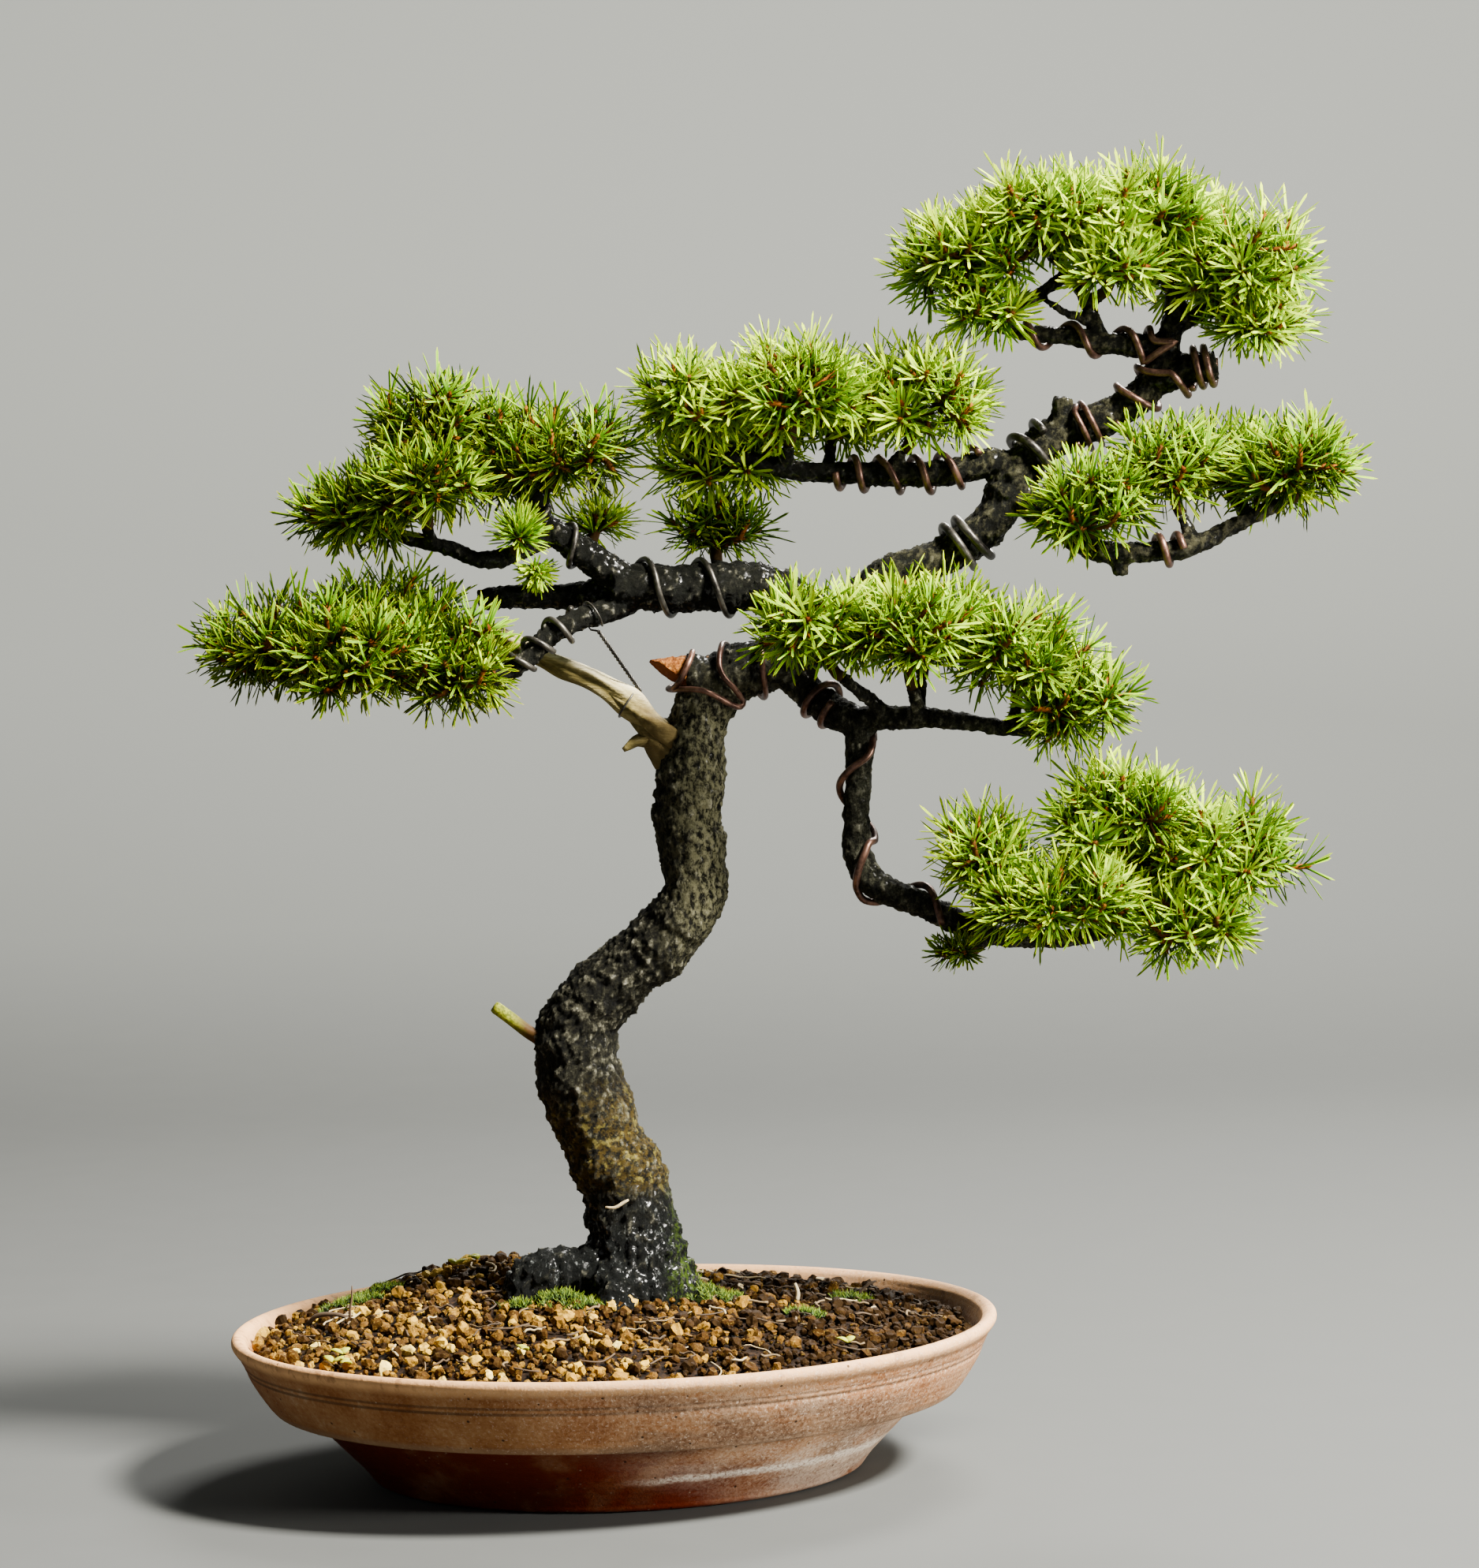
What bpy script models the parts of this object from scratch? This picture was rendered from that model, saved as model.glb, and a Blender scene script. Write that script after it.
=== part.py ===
"""A spruce bonsai, wired in training, in a round stoneware pot that stands on its flat foot."""

import itertools
import math
import random

import bmesh
import bpy
import numpy as np
from mathutils import Matrix, Vector

# Lengths are in millimetres and are turned into metres as each object is made.
MM = 0.001
FRONT = Vector((0.0, -1.0, 0.0))
GOLDEN = math.radians(137.508)

# Clear distance between two pieces that lie against each other.
GAP = 0.3
SOIL_HOLE_GAP = 0.45

# How finely lines are read: points between two given ones, half the length that gives a direction,
# and the places tried along a line.
CURVE_POINTS = 12
HALF_LOOK = 1.5
LINE_TRIES = 400

# The pot: radius and height, down the outside from the lip to the foot.
POT_STEPS = 32
POT_OUTSIDE = [
    (135.6, 53.2), (138.2, 54.4), (140.0, 52.6), (138.8, 50.0), (136.2, 47.4), (135.4, 44.2),
    (134.0, 43.4), (134.6, 41.6), (130.2, 33.4), (124.2, 27.2), (114.2, 26.4), (103.2, 15.2),
    (93.2, 5.6), (89.6, 0.0),
]
POT_FLOOR = 8.0
POT_INSIDE = [(86.0, POT_FLOOR), (92.0, 10.6), (106.5, 27.0), (115.5, 32.6), (124.0, 35.6), (134.4, 51.0)]
DRAIN_X = 35.0
DRAIN_RADIUS = 6.0
SCREEN_SIDE = 19.0
SCREEN_THICK = 1.2
SCREEN_HOLES = 3
SCREEN_HOLE = 4.4

# The soil: a mound with coarse grains, lower at the right and the back right.
SOIL_RIM = 48.6
SOIL_RISE = 14.0
SOIL_TILT = -1.8
SOIL_RINGS = [0.001, 25.0, 43.0, 61.0, 79.0, 97.0, 115.0]
SOIL_HEAP = (-54.0, 60.0, 50.0, 11.0)
GRAIN_RELIEF = 2.0

# The wood: each line is x, y, z and radius.
TRUNK_STEP = 13.0
BRANCH_STEP = 17.0
TRUNK_RELIEF = 0.8
RELIEF_FOOT = 80.0
RELIEF_TOP = 262.0
TRUNK = [
    (8, 0, 38, 23), (8, 0, 52, 24), (8, 0, 69, 20.5), (7.5, 0, 91, 16.2), (5.6, 0, 104.5, 16.4),
    (-1.7, 1, 118.6, 15), (-7.8, 2, 137, 16.2), (-11.6, 2, 154, 15.4), (-8, 1, 166, 14.2),
    (4.5, 0, 179, 12.8), (21.6, -1, 192, 12.6), (32.3, -2, 205.5, 11.8), (34.5, -1, 219, 12.2),
    (32.8, 0, 238, 12.8), (34, 1, 251.5, 12.6), (36, 2, 265, 11.4), (38.6, 3, 275.5, 11.2),
    (45.8, 4, 286.5, 10.6), (57, 4, 291, 9.8), (71, 3, 294, 9.2), (86, 1, 304, 8.4),
    (96, 0, 314, 7.4), (110, -1, 324, 7), (129, -1, 330, 6.8), (145, 0, 340, 7.4),
    (154, 1, 354, 7.8), (165, 2, 368.5, 7.4), (179, 2, 374, 6.8), (190.5, 2, 378.6, 6.8),
    (202, 1, 385, 6.4), (209, 0, 394, 5.6), (213, 0, 407, 4.6), (216, 0, 418, 4),
    (212, -2, 430, 3.2), (205, -2, 440, 2.6),
]
BRANCHES = {
    "root_left": [
        (2, -4, 72, 12), (-13, -8, 73, 10), (-25, -10, 73.5, 9), (-32, -11, 68, 8), (-34, -12, 51, 6.6),
    ],
    "root_front": [(4, -8, 76, 9), (1, -19, 66, 8.4), (-1, -25, 50, 7)],
    "root_right": [(15, -3, 78, 9), (23, -6, 66, 8.4), (28, -8, 50, 7)],
    "root_back": [(14, 8, 76, 9), (21, 18, 65, 8), (25, 24, 50, 6.6)],
    "root_back_left": [(0, 8, 76, 9), (-9, 18, 66, 8), (-14, 25, 50, 6.6)],
    "cut_stub": [(46, 3, 287, 7), (34, 0, 290.5, 6.4), (23, -2, 294, 5.8)],
    "green_stub": [(-16, 0, 155, 3), (-27, -3, 160.5, 2.5), (-40, -5, 171, 2.3)],
    "jin": [
        (34, 1, 262, 5.4), (23, -1, 269.5, 5), (13, -1, 279.5, 4.6), (1, 0, 288, 4),
        (-11.5, 2, 294, 3.5), (-25, 4, 301, 3.3), (-40, 6, 310, 3),
    ],
    "jin_spur": [(26, -1, 267, 4.4), (16, -3, 266, 2.6), (10, -4, 263, 1.3)],
    "left_branch": [
        (84, 1, 308, 8.4), (68, 0, 318, 9), (52, -2, 321, 9), (35, -3, 321, 8.8), (19, -4, 322, 8.6),
        (8.5, -5, 324, 8),
    ],
    "upper_left": [
        (14, -5, 323, 6.4), (-1, -6, 334, 5.6), (-9, -8, 340, 4.8), (-17, -8, 347, 4.6),
        (-18, -8, 355, 4), (-28, -5, 361, 3.4), (-42, -2, 366, 2.9), (-54, 0, 372, 2.4),
    ],
    "upper_fork": [
        (-14, -8, 341, 3.8), (-25, -10, 336.5, 3.6), (-32, -12, 334, 3.4), (-41, -12, 334, 3.2),
        (-50, -10, 338, 3), (-64, -8, 342, 2.6), (-76, -6, 345, 2.3),
    ],
    "back_stub": [(6, 0, 321, 6), (-8, 1, 319.5, 5), (-26, 2, 320, 4.6), (-41, 4, 319, 4.2)],
    "lower_left": [
        (14, -4, 318, 6), (4, -8, 313, 4.8), (-4, -11, 311, 4.2), (-14.5, -14, 306, 4),
        (-23, -17, 298, 3.8), (-32, -19, 292, 3.6), (-48, -20, 289, 3.2), (-70, -20, 290, 2.9),
        (-92, -20, 292, 2.6), (-108, -20, 295, 2.3),
    ],
    "centre_branch": [
        (158, 1, 360, 6), (147, 0, 363, 5.4), (131, -2, 360, 5), (112, -4, 359.5, 4.6),
        (95, -4, 361, 4.2), (73.5, -4, 363, 3.6), (54, -4, 368.5, 3), (40, -4, 372, 2.4),
    ],
    "right_lower": [
        (68, 3, 293, 7), (77, -1, 283, 6), (85, -7, 275.5, 6), (95, -12, 271, 6), (96, -13, 262, 5.6),
        (95, -14, 249, 5.2), (94, -15, 235, 5), (94, -16, 222, 5.2), (100, -18, 212, 5.4),
        (112, -20, 206.5, 5.2), (123, -22, 201, 4.8), (137, -24, 194, 4.2), (156, -25, 191, 3.6),
        (177.5, -26, 192, 3), (196, -26, 197, 2.5),
    ],
    "right_ledge": [
        (92, -11, 272, 5), (109.5, -20, 272, 4.2), (128, -26, 271, 3.6), (145, -28, 268, 3),
        (160, -29, 266, 2.4),
    ],
    "right_branch": [
        (154, 1, 352, 6), (166, -8, 343, 5), (178, -15, 333, 4.4), (188, -19, 329, 4.2),
        (199, -20, 329, 4), (216, -20, 330, 3.8), (232, -18, 337, 3.2), (248, -16, 344, 2.6),
    ],
    "right_nub": [(190, -19, 330, 3.4), (191, -19, 325, 3.2), (192, -19, 320.5, 2.6)],
    "knot_nub": [(171, 2, 370, 5), (173, 0, 379, 4.2), (174, -1, 386, 3.6)],
    "crown_stub": [(206, 0, 390, 6), (217, -2, 394.5, 5.8), (230, -4, 396, 5.4)],
    "crown_left": [
        (212, 0, 402, 4.6), (199, -1, 404, 4.4), (190, -1, 405, 4), (176, -2, 408, 3.4),
        (160, -2, 410, 3), (148, -3, 414, 2.6), (140, -2, 422, 2.2),
    ],
    "crown_inner": [(189, -1, 405, 3), (185, 0, 416, 2.8), (180, 2, 428, 2.4), (172, 4, 438, 2.1)],
    "crown_right": [(215, 0, 411, 3.8), (225, -2, 415, 3.2), (236, -3, 418, 2.6)],
}

# The foliage: each leafy stem fills one lobe. Its name starts with its pad.
# Each line is the lobe's centre and its half sizes, needles included.
LOBES = {
    "pad_a_1": (-117, -20, 304, 28, 25, 22), "pad_a_2": (-84, -38, 299, 30, 21, 24),
    "pad_a_3": (-76, -1, 309, 32, 25, 25), "pad_a_4": (-48, -25, 296, 25, 26, 24),
    "pad_b_1": (-84, -8, 352, 26, 26, 20), "pad_b_2": (-57, -4, 382, 26, 24, 21),
    "pad_b_3": (-57, -30, 361, 23, 17, 19), "pad_b_4": (-10, -10, 371, 30, 25, 21),
    "pad_b_5": (-40, 25, 368, 34, 21, 21),
    "tuft_left": (-24, -24, 343, 11, 9, 10), "tuft_back": (3, 10, 346, 15, 12, 11),
    "tuft_centre": (46, 12, 343, 22, 19, 15),
    "pad_c_1": (39, -10, 388, 25, 24, 22), "pad_c_2": (76, -20, 391, 26, 20, 23),
    "pad_c_3": (49, 10, 369, 29, 24, 21), "pad_c_4": (122, -8, 387, 31, 26, 24),
    "pad_c_5": (90, 16, 386, 25, 21, 22),
    "pad_g_1": (134, -2, 437, 25, 25, 22), "pad_g_2": (166, -15, 452, 25, 21, 19),
    "pad_g_3": (205, -8, 452, 28, 24, 20), "pad_g_4": (241, -8, 431, 29, 26, 25),
    "pad_g_5": (222, 18, 437, 28, 23, 26), "pad_g_6": (172, 18, 452, 29, 21, 18),
    "pad_g_7": (146, -10, 418, 19, 18, 14), "pad_g_8": (193, -20, 433, 23, 17, 17),
    "pad_g_9": (245, -4, 411, 23, 22, 15),
    "pad_d_1": (181, -26, 347, 25, 22, 20), "pad_d_2": (210, -16, 361, 22, 22, 20),
    "pad_d_3": (256, -16, 358, 27, 24, 23), "pad_d_4": (233, 6, 359, 26, 20, 20),
    "pad_e_1": (80, -34, 305, 27, 22, 20), "pad_e_2": (112, -42, 303, 27, 19, 21),
    "pad_e_3": (121, -14, 307, 28, 20, 18), "pad_e_4": (153, -32, 295, 30, 24, 21),
    "pad_e_5": (172, -30, 275, 26, 24, 21),
    "pad_f_1": (139, -30, 222, 22, 22, 22), "pad_f_2": (188, -26, 237, 29, 24, 21),
    "pad_f_3": (228, -24, 219, 31, 25, 24), "pad_f_4": (162, -43, 206, 34, 17, 18),
    "pad_f_5": (196, -4, 212, 33, 20, 23), "pad_f_6": (213, -34, 194, 26, 18, 18),
    "tuft_low": (128, -30, 188, 14, 11, 9),
}
# The wood that carries each pad.
CARRIERS = {
    "pad_a": ["lower_left"], "pad_b": ["upper_left", "upper_fork"], "tuft_left": ["upper_fork"],
    "tuft_back": ["upper_left", "left_branch"], "tuft_centre": ["left_branch"], "pad_c": ["centre_branch"],
    "pad_g": ["trunk", "crown_left", "crown_inner", "crown_right"], "pad_d": ["right_branch"],
    "pad_e": ["right_ledge", "right_lower"], "pad_f": ["right_lower"], "tuft_low": ["right_lower"],
}
TWIG_ROOT = 2.8
TWIG_TIP = 2.2
# Where a twig may leave its branch: places tried, the first share of a branch, the last length of the trunk.
TWIG_TRIES = 40
TWIG_FROM = 0.25
TWIG_TRUNK = 45.0
TWIG_CLEAR = 0.5
TWIG_STUB = 3.5
TWIG_SHORTEST = 6.0
# How much higher in its lobe the stem may fork, and where it forks by itself.
LIFTS = (0.0, 0.25, 0.5)
TWIG_AIM = -0.45
STEM_AIM = -0.1
STEM_KNEE = 3.0
STEM_SHORTEST = 5.0
# What speaks against a place for a twig, in millimetres of extra length.
COST_LIFT = 20.0
COST_WIRE = 60.0
COST_WOOD = 200.0
COST_SHORT = 40.0
COST_BACK = 80.0
COST_REFUSED = 190.0
STEM_TIP = 1.9
SHOOT_ROOT = 1.5
SHOOT_TIP = 1.15
SHOOT_SIDES = 4
SHOOT_TRIES = 12
SHOOTS = 5
MIDDLE_LOBE = 27.0
MIDDLE_LOBE_SHOOTS = 4
TIPS_FROM = 0.93
TIPS_DOWN = 1.60
SMALL_LOBE = 16.0
SMALL_LOBE_SHOOTS = 3
NEEDLE_LENGTH = 12.5
NEEDLE_ROOT = 0.8
NEEDLE_SUNK = 0.6
# Where each needle leaves its shoot: share of its length, side of the shoot, lean in degrees.
NEEDLE_PLACES = [(0.90, 0, 44), (0.68, 2, 60)]

# The wires: radius, sides and the coils that make them. A coil is the wood, where it starts and ends
# as x and z, its turns (minus for the other hand) and the angle at its start, 0 at the front.
THICK = 1.6
MIDDLE = 1.35
THIN = 1.1
WIRE_TURN_POINTS = 6
TRUNK_SWELL = 0.4
WIRES = {
    "wire_bend": (THIN, [
        ("cut_stub", (30, 292), (38, 290), -1.0, 100),
        ("trunk", (45, 286), (74, 296), -1.9, 60),
    ]),
    "wire_junction": (MIDDLE, [("right_lower", (79, 281), (88, 274), -1.6, 200)]),
    "wire_drop": (MIDDLE, [("right_lower", (96, 266), (126, 200), 2.35, -100)]),
    "wire_centre": (MIDDLE, [
        ("centre_branch", (142, 363), (112, 360), 2.8, 40),
        ("centre_branch", (106, 360), (90, 361), 1.8, 70),
    ]),
    "wire_knot": (THICK, [("trunk", (161, 364), (168, 370), 1.5, 150)]),
    "wire_knot_right": (THIN, [("trunk", (177, 374), (185, 377), 2.2, 30)]),
    "wire_upper_trunk": (THICK, [("trunk", (132, 332), (141, 337), 2.0, 160)]),
    "wire_crown": (MIDDLE, [
        ("trunk", (191, 379), (213, 405), 3.0, 20),
        ("crown_left", (204, 403), (160, 410), 2.3, 300),
    ]),
    "wire_crown_stub": (MIDDLE, [("crown_stub", (220, 395), (229, 396), 2.4, 60)]),
    "wire_left": (THIN, [
        ("left_branch", (54, 321), (14, 323), 1.9, -150),
        ("upper_left", (-1, 334), (-17, 350), 1.6, 200),
    ]),
    "wire_lower_left": (THIN, [("lower_left", (-5, 311), (-31, 292), 3.4, 90)]),
    "wire_right": (MIDDLE, [("right_branch", (204, 329), (214, 330), 1.5, 180)]),
}
DARK_WIRES = ("wire_knot", "wire_upper_trunk", "wire_left", "wire_lower_left", "guy_wire")
GUY_RADIUS = 0.75
GUY_TURNS = 3
GUY_TURN_POINTS = 5
GUY_FOOT_POINTS = 9
GUY_TOP_POINTS = 12
LOOP_START = math.radians(28)
LOOP_TURN = math.radians(304)
LOOP_PITCH = 3.0
GUY_TOP = (2.5, -9.0, 306.6)
GUY_FOOT = (17.0, -1.0, 284.0)

COLOURS = {
    "pot": (0.30, 0.17, 0.11), "soil": (0.32, 0.20, 0.10), "tree": (0.06, 0.055, 0.045),
    "screen": (0.08, 0.08, 0.08), "copper": (0.20, 0.11, 0.08), "dark": (0.03, 0.03, 0.035),
    "leaf": (0.16, 0.34, 0.05),
}


# Numbers along lines and between them.
def smooth(points, step):
    """Points about a step apart on a smooth line through the given points, each x, y, z and radius."""
    given = np.array(points, float)
    ends = np.vstack([2 * given[0] - given[1], given, 2 * given[-1] - given[-2]])
    fine = []
    for i in range(1, len(ends) - 2):
        a, b, c, d = ends[i - 1 : i + 3]
        for t in np.linspace(0, 1, CURVE_POINTS, endpoint=False):
            bend = (2 * a - 5 * b + 4 * c - d) * t * t + (3 * b - a - 3 * c + d) * t**3
            fine.append(b + 0.5 * ((c - a) * t + bend))
    fine.append(given[-1])
    fine = np.array(fine)
    lengths = np.linalg.norm(np.diff(fine[:, :3], axis=0), axis=1)
    along = np.concatenate([[0], np.cumsum(lengths)])
    count = max(2, round(along[-1] / step)) + 1
    wanted = np.linspace(0, along[-1], count)
    return np.stack([np.interp(wanted, along, fine[:, k]) for k in range(4)], axis=1)


def at(line, s):
    """The point, radius and direction at the length s along a line."""
    lengths = np.linalg.norm(np.diff(line[:, :3], axis=0), axis=1)
    along = np.concatenate([[0], np.cumsum(lengths)])
    s = min(max(s, 0.0), along[-1])
    values = [float(np.interp(s, along, line[:, k])) for k in range(4)]
    before = [np.interp(s - HALF_LOOK, along, line[:, k]) for k in range(3)]
    after = [np.interp(s + HALF_LOOK, along, line[:, k]) for k in range(3)]
    direction = (Vector(after) - Vector(before)).normalized()
    return Vector(values[:3]), values[3], direction


def length_at(line, x, z):
    """How far along the line its point nearest to x and z lies, seen from the front."""
    lengths = np.linalg.norm(np.diff(line[:, :3], axis=0), axis=1)
    along = np.concatenate([[0], np.cumsum(lengths)])
    tries = np.linspace(0, along[-1], LINE_TRIES)
    xs = np.interp(tries, along, line[:, 0])
    zs = np.interp(tries, along, line[:, 2])
    return float(tries[np.argmin((xs - x) ** 2 + (zs - z) ** 2)])


def rods_of(line):
    """A line as rods: each row holds two ends and their radii."""
    return np.hstack([line[:-1, :3], line[1:, :3], line[:-1, 3:4], line[1:, 3:4]])


def clearances(start, end, rods):
    """Distance from one axis to each rod's axis, with where on each the nearest points are."""
    p = np.array(start)
    q = np.array(end)
    d1 = q - p
    d2 = rods[:, 3:6] - rods[:, :3]
    r = p - rods[:, :3]
    a = float(d1 @ d1) + 1e-12
    e = np.einsum("ij,ij->i", d2, d2) + 1e-12
    f = np.einsum("ij,ij->i", d2, r)
    b = d2 @ d1
    c = r @ d1
    s = np.clip((b * f - c * e) / np.maximum(a * e - b * b, 1e-9), 0, 1)
    t = np.clip((b * s + f) / e, 0, 1)
    s = np.clip((b * t - c) / a, 0, 1)
    near = p + s[:, None] * d1
    other = rods[:, :3] + t[:, None] * d2
    return np.linalg.norm(near - other, axis=1), s, t, near - other


def free_of(start, end, radius, rods, gap=GAP):
    """True where a rod of this radius keeps the gap from all the rods."""
    if not len(rods):
        return True
    distance, _, t, _ = clearances(start, end, rods)
    radii = rods[:, 6] + (rods[:, 7] - rods[:, 6]) * t
    return bool((distance > radii + radius + gap).all())


def bend_clear(name, points, radius, rods, gap):
    """Moves a wire's points outward until the wire lies clear of the rods."""
    points = np.array(points, float)
    for _ in range(160):
        worst = 0.0
        for i in range(len(points) - 1):
            distance, s, t, way = clearances(points[i], points[i + 1], rods)
            lack = rods[:, 6] + (rods[:, 7] - rods[:, 6]) * t + radius + gap - distance
            k = int(np.argmax(lack))
            if lack[k] <= 0:
                continue
            if lack[k] > worst:
                worst = float(lack[k])
                place_of_worst = points[i].round(1)
            push = way[k] / max(distance[k], 1e-6) * (lack[k] + 0.02)
            weight = (1 - s[k]) ** 2 + s[k] ** 2
            points[i] += push * (1 - s[k]) / weight
            points[i + 1] += push * s[k] / weight
        if worst < 0.01:
            break
    if worst >= 0.01:
        print(name, "is short of clearance by", round(worst, 2), place_of_worst)
    return points


# Objects.
def material(name, colour, roughness=0.7):
    made = bpy.data.materials.new(name)
    made.use_nodes = True
    shader = made.node_tree.nodes["Principled BSDF"]
    shader.inputs["Base Color"].default_value = (*colour, 1.0)
    shader.inputs["Roughness"].default_value = roughness
    made.diffuse_color = (*colour, 1.0)
    return made


def place(name, mesh, collection):
    made = bpy.data.objects.new(name, mesh)
    collection.objects.link(made)
    return made


def clean_mesh(source, weld):
    """A welded copy of the object's final shape as a mesh, with outward faces."""
    bpy.context.view_layer.update()
    graph = bpy.context.evaluated_depsgraph_get()
    mesh = bpy.data.meshes.new_from_object(source.evaluated_get(graph))
    shape = bmesh.new()
    shape.from_mesh(mesh)
    bmesh.ops.remove_doubles(shape, verts=shape.verts, dist=weld)
    bmesh.ops.recalc_face_normals(shape, faces=shape.faces)
    shape.to_mesh(mesh)
    shape.free()
    return mesh


def tube(name, line, rounding, collection):
    """A bar along the line, tapering with its radii: rounding 0 gives 4 sides, 1 gives 6, 3 gives 10."""
    curve = bpy.data.curves.new(name + "_line", "CURVE")
    curve.dimensions = "3D"
    curve.bevel_depth = MM
    curve.bevel_resolution = rounding
    curve.use_fill_caps = True
    spline = curve.splines.new("POLY")
    spline.points.add(len(line) - 1)
    for point, (x, y, z, radius) in zip(spline.points, line):
        point.co = (x * MM, y * MM, z * MM, 1.0)
        point.radius = radius
    guide = place(name + "_line", curve, collection)
    mesh = clean_mesh(guide, 0.01 * MM)
    mesh.name = name
    made = place(name, mesh, collection)
    made.matrix_world = guide.matrix_world.copy()
    bpy.data.objects.remove(guide)
    return made


def frame_along(way, twist):
    """Axes with the last along the way, turned about it by the twist."""
    turn = way.to_track_quat("Z", "Y").to_matrix() @ Matrix.Rotation(twist, 3, "Z")
    return turn


def rod(name, start, end, radius_start, radius_end, sides, collection, twist=0.0):
    """A straight tapering bar between two points."""
    shape = bmesh.new()
    way = end - start
    turn = frame_along(way, twist).to_4x4()
    middle = Matrix.Translation((start + end) / 2 * MM)
    bmesh.ops.create_cone(
        shape,
        cap_ends=True,
        segments=sides,
        radius1=radius_start * MM,
        radius2=radius_end * MM,
        depth=way.length * MM,
        matrix=middle @ turn,
    )
    bmesh.ops.recalc_face_normals(shape, faces=shape.faces)
    mesh = bpy.data.meshes.new(name)
    shape.to_mesh(mesh)
    shape.free()
    return place(name, mesh, collection)


def box(name, centre, size, collection):
    shape = bmesh.new()
    scale = Matrix.Diagonal((size[0] * MM, size[1] * MM, size[2] * MM, 1.0))
    bmesh.ops.create_cube(shape, size=1.0, matrix=Matrix.Translation(Vector(centre) * MM) @ scale)
    mesh = bpy.data.meshes.new(name)
    shape.to_mesh(mesh)
    shape.free()
    return place(name, mesh, collection)


def combine(base, others, operation, solver):
    """Joins the others to the base, or cuts them from it, and removes them."""
    if not others:
        return base
    group = bpy.data.collections.new(base.name + "_group")
    bpy.context.scene.collection.children.link(group)
    for other in others:
        for holder in list(other.users_collection):
            holder.objects.unlink(other)
        group.objects.link(other)
    step = base.modifiers.new("Combine", "BOOLEAN")
    step.operation = operation
    step.operand_type = "COLLECTION"
    step.collection = group
    step.solver = solver
    mesh = clean_mesh(base, 0.002 * MM)
    base.modifiers.clear()
    base.data = mesh
    mesh.name = base.name
    for other in others:
        bpy.data.objects.remove(other)
    bpy.data.collections.remove(group)
    return base


def largest_body(obj):
    """Keeps the largest body whose faces join along edges, and drops any scrap."""
    shape = bmesh.new()
    shape.from_mesh(obj.data)
    left = set(shape.faces)
    groups = []
    while left:
        seed = left.pop()
        group = {seed}
        border = [seed]
        while border:
            face = border.pop()
            for edge in face.edges:
                for other in edge.link_faces:
                    if other in left:
                        left.discard(other)
                        group.add(other)
                        border.append(other)
        groups.append(group)
    groups.sort(key=len)
    scraps = [face for group in groups[:-1] for face in group]
    bmesh.ops.delete(shape, geom=scraps, context="FACES")
    shape.to_mesh(obj.data)
    shape.free()
    return len(groups) - 1


# The pot with its two drain holes.
def turned(name, profile, collection):
    """A body turned from a profile that runs from the axis round its outside and back to the axis."""
    shape = bmesh.new()
    verts = [shape.verts.new((radius * MM, 0, height * MM)) for radius, height in profile]
    for first, second in zip(verts, verts[1:]):
        shape.edges.new((first, second))
    mesh = bpy.data.meshes.new(name)
    shape.to_mesh(mesh)
    shape.free()
    made = place(name, mesh, collection)
    screw = made.modifiers.new("Turn", "SCREW")
    screw.steps = POT_STEPS
    screw.render_steps = POT_STEPS
    screw.use_merge_vertices = True
    screw.merge_threshold = 0.00005
    made.data = clean_mesh(made, 0.01 * MM)
    made.data.name = name
    made.modifiers.clear()
    return made


def make_pot(collection):
    profile = [(0.0, POT_FLOOR)] + POT_INSIDE + POT_OUTSIDE + [(0.0, 0.0)]
    pot = turned("pot", profile, collection)
    holes = []
    for side in (-1, 1):
        low = Vector((side * DRAIN_X, 0, -2))
        high = Vector((side * DRAIN_X, 0, POT_FLOOR + 2))
        holes.append(rod("drain_cutter", low, high, DRAIN_RADIUS, DRAIN_RADIUS, 12, collection))
    combine(pot, holes, "DIFFERENCE", "EXACT")
    pot.data.materials.append(material("stoneware", COLOURS["pot"], 0.75))


def make_screens(collection):
    for name, side in (("drain_screen_left", -1), ("drain_screen_right", 1)):
        middle = (side * DRAIN_X, 0, POT_FLOOR + GAP + SCREEN_THICK / 2)
        screen = box(name, middle, (SCREEN_SIDE, SCREEN_SIDE, SCREEN_THICK), collection)
        pitch = SCREEN_SIDE / (SCREEN_HOLES + 0.2)
        holes = []
        for i in range(SCREEN_HOLES):
            for j in range(SCREEN_HOLES):
                x = middle[0] + (i - (SCREEN_HOLES - 1) / 2) * pitch
                y = (j - (SCREEN_HOLES - 1) / 2) * pitch
                size = (SCREEN_HOLE, SCREEN_HOLE, SCREEN_THICK * 3)
                holes.append(box("mesh_cutter", (x, y, middle[2]), size, collection))
        combine(screen, holes, "DIFFERENCE", "EXACT")
        screen.data.materials.append(material(name + "_plastic", COLOURS["screen"], 0.6))


# The soil.
def soil_height(x, y):
    """Height of the soil's face without its grains."""
    reach = min(1.0, math.hypot(x, y) / 131.0)
    cx, cy, width, rise = SOIL_HEAP
    heap = rise * math.exp(-((x - cx) ** 2 + (y - cy) ** 2) / width**2)
    edge = 1 - reach**4
    return SOIL_RIM + SOIL_RISE * (1 - reach**2) ** 0.9 + heap * edge + SOIL_TILT * x / 131.0


def grain_relief(x, y):
    near = math.sin(x / 3.9 + 1.3 * math.sin(y / 9.0)) * math.cos(y / 4.3 + 0.7)
    far = math.sin(x / 9.1 - y / 7.3 + 2.0)
    return GRAIN_RELIEF * (0.65 * near + 0.35 * far)


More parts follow.
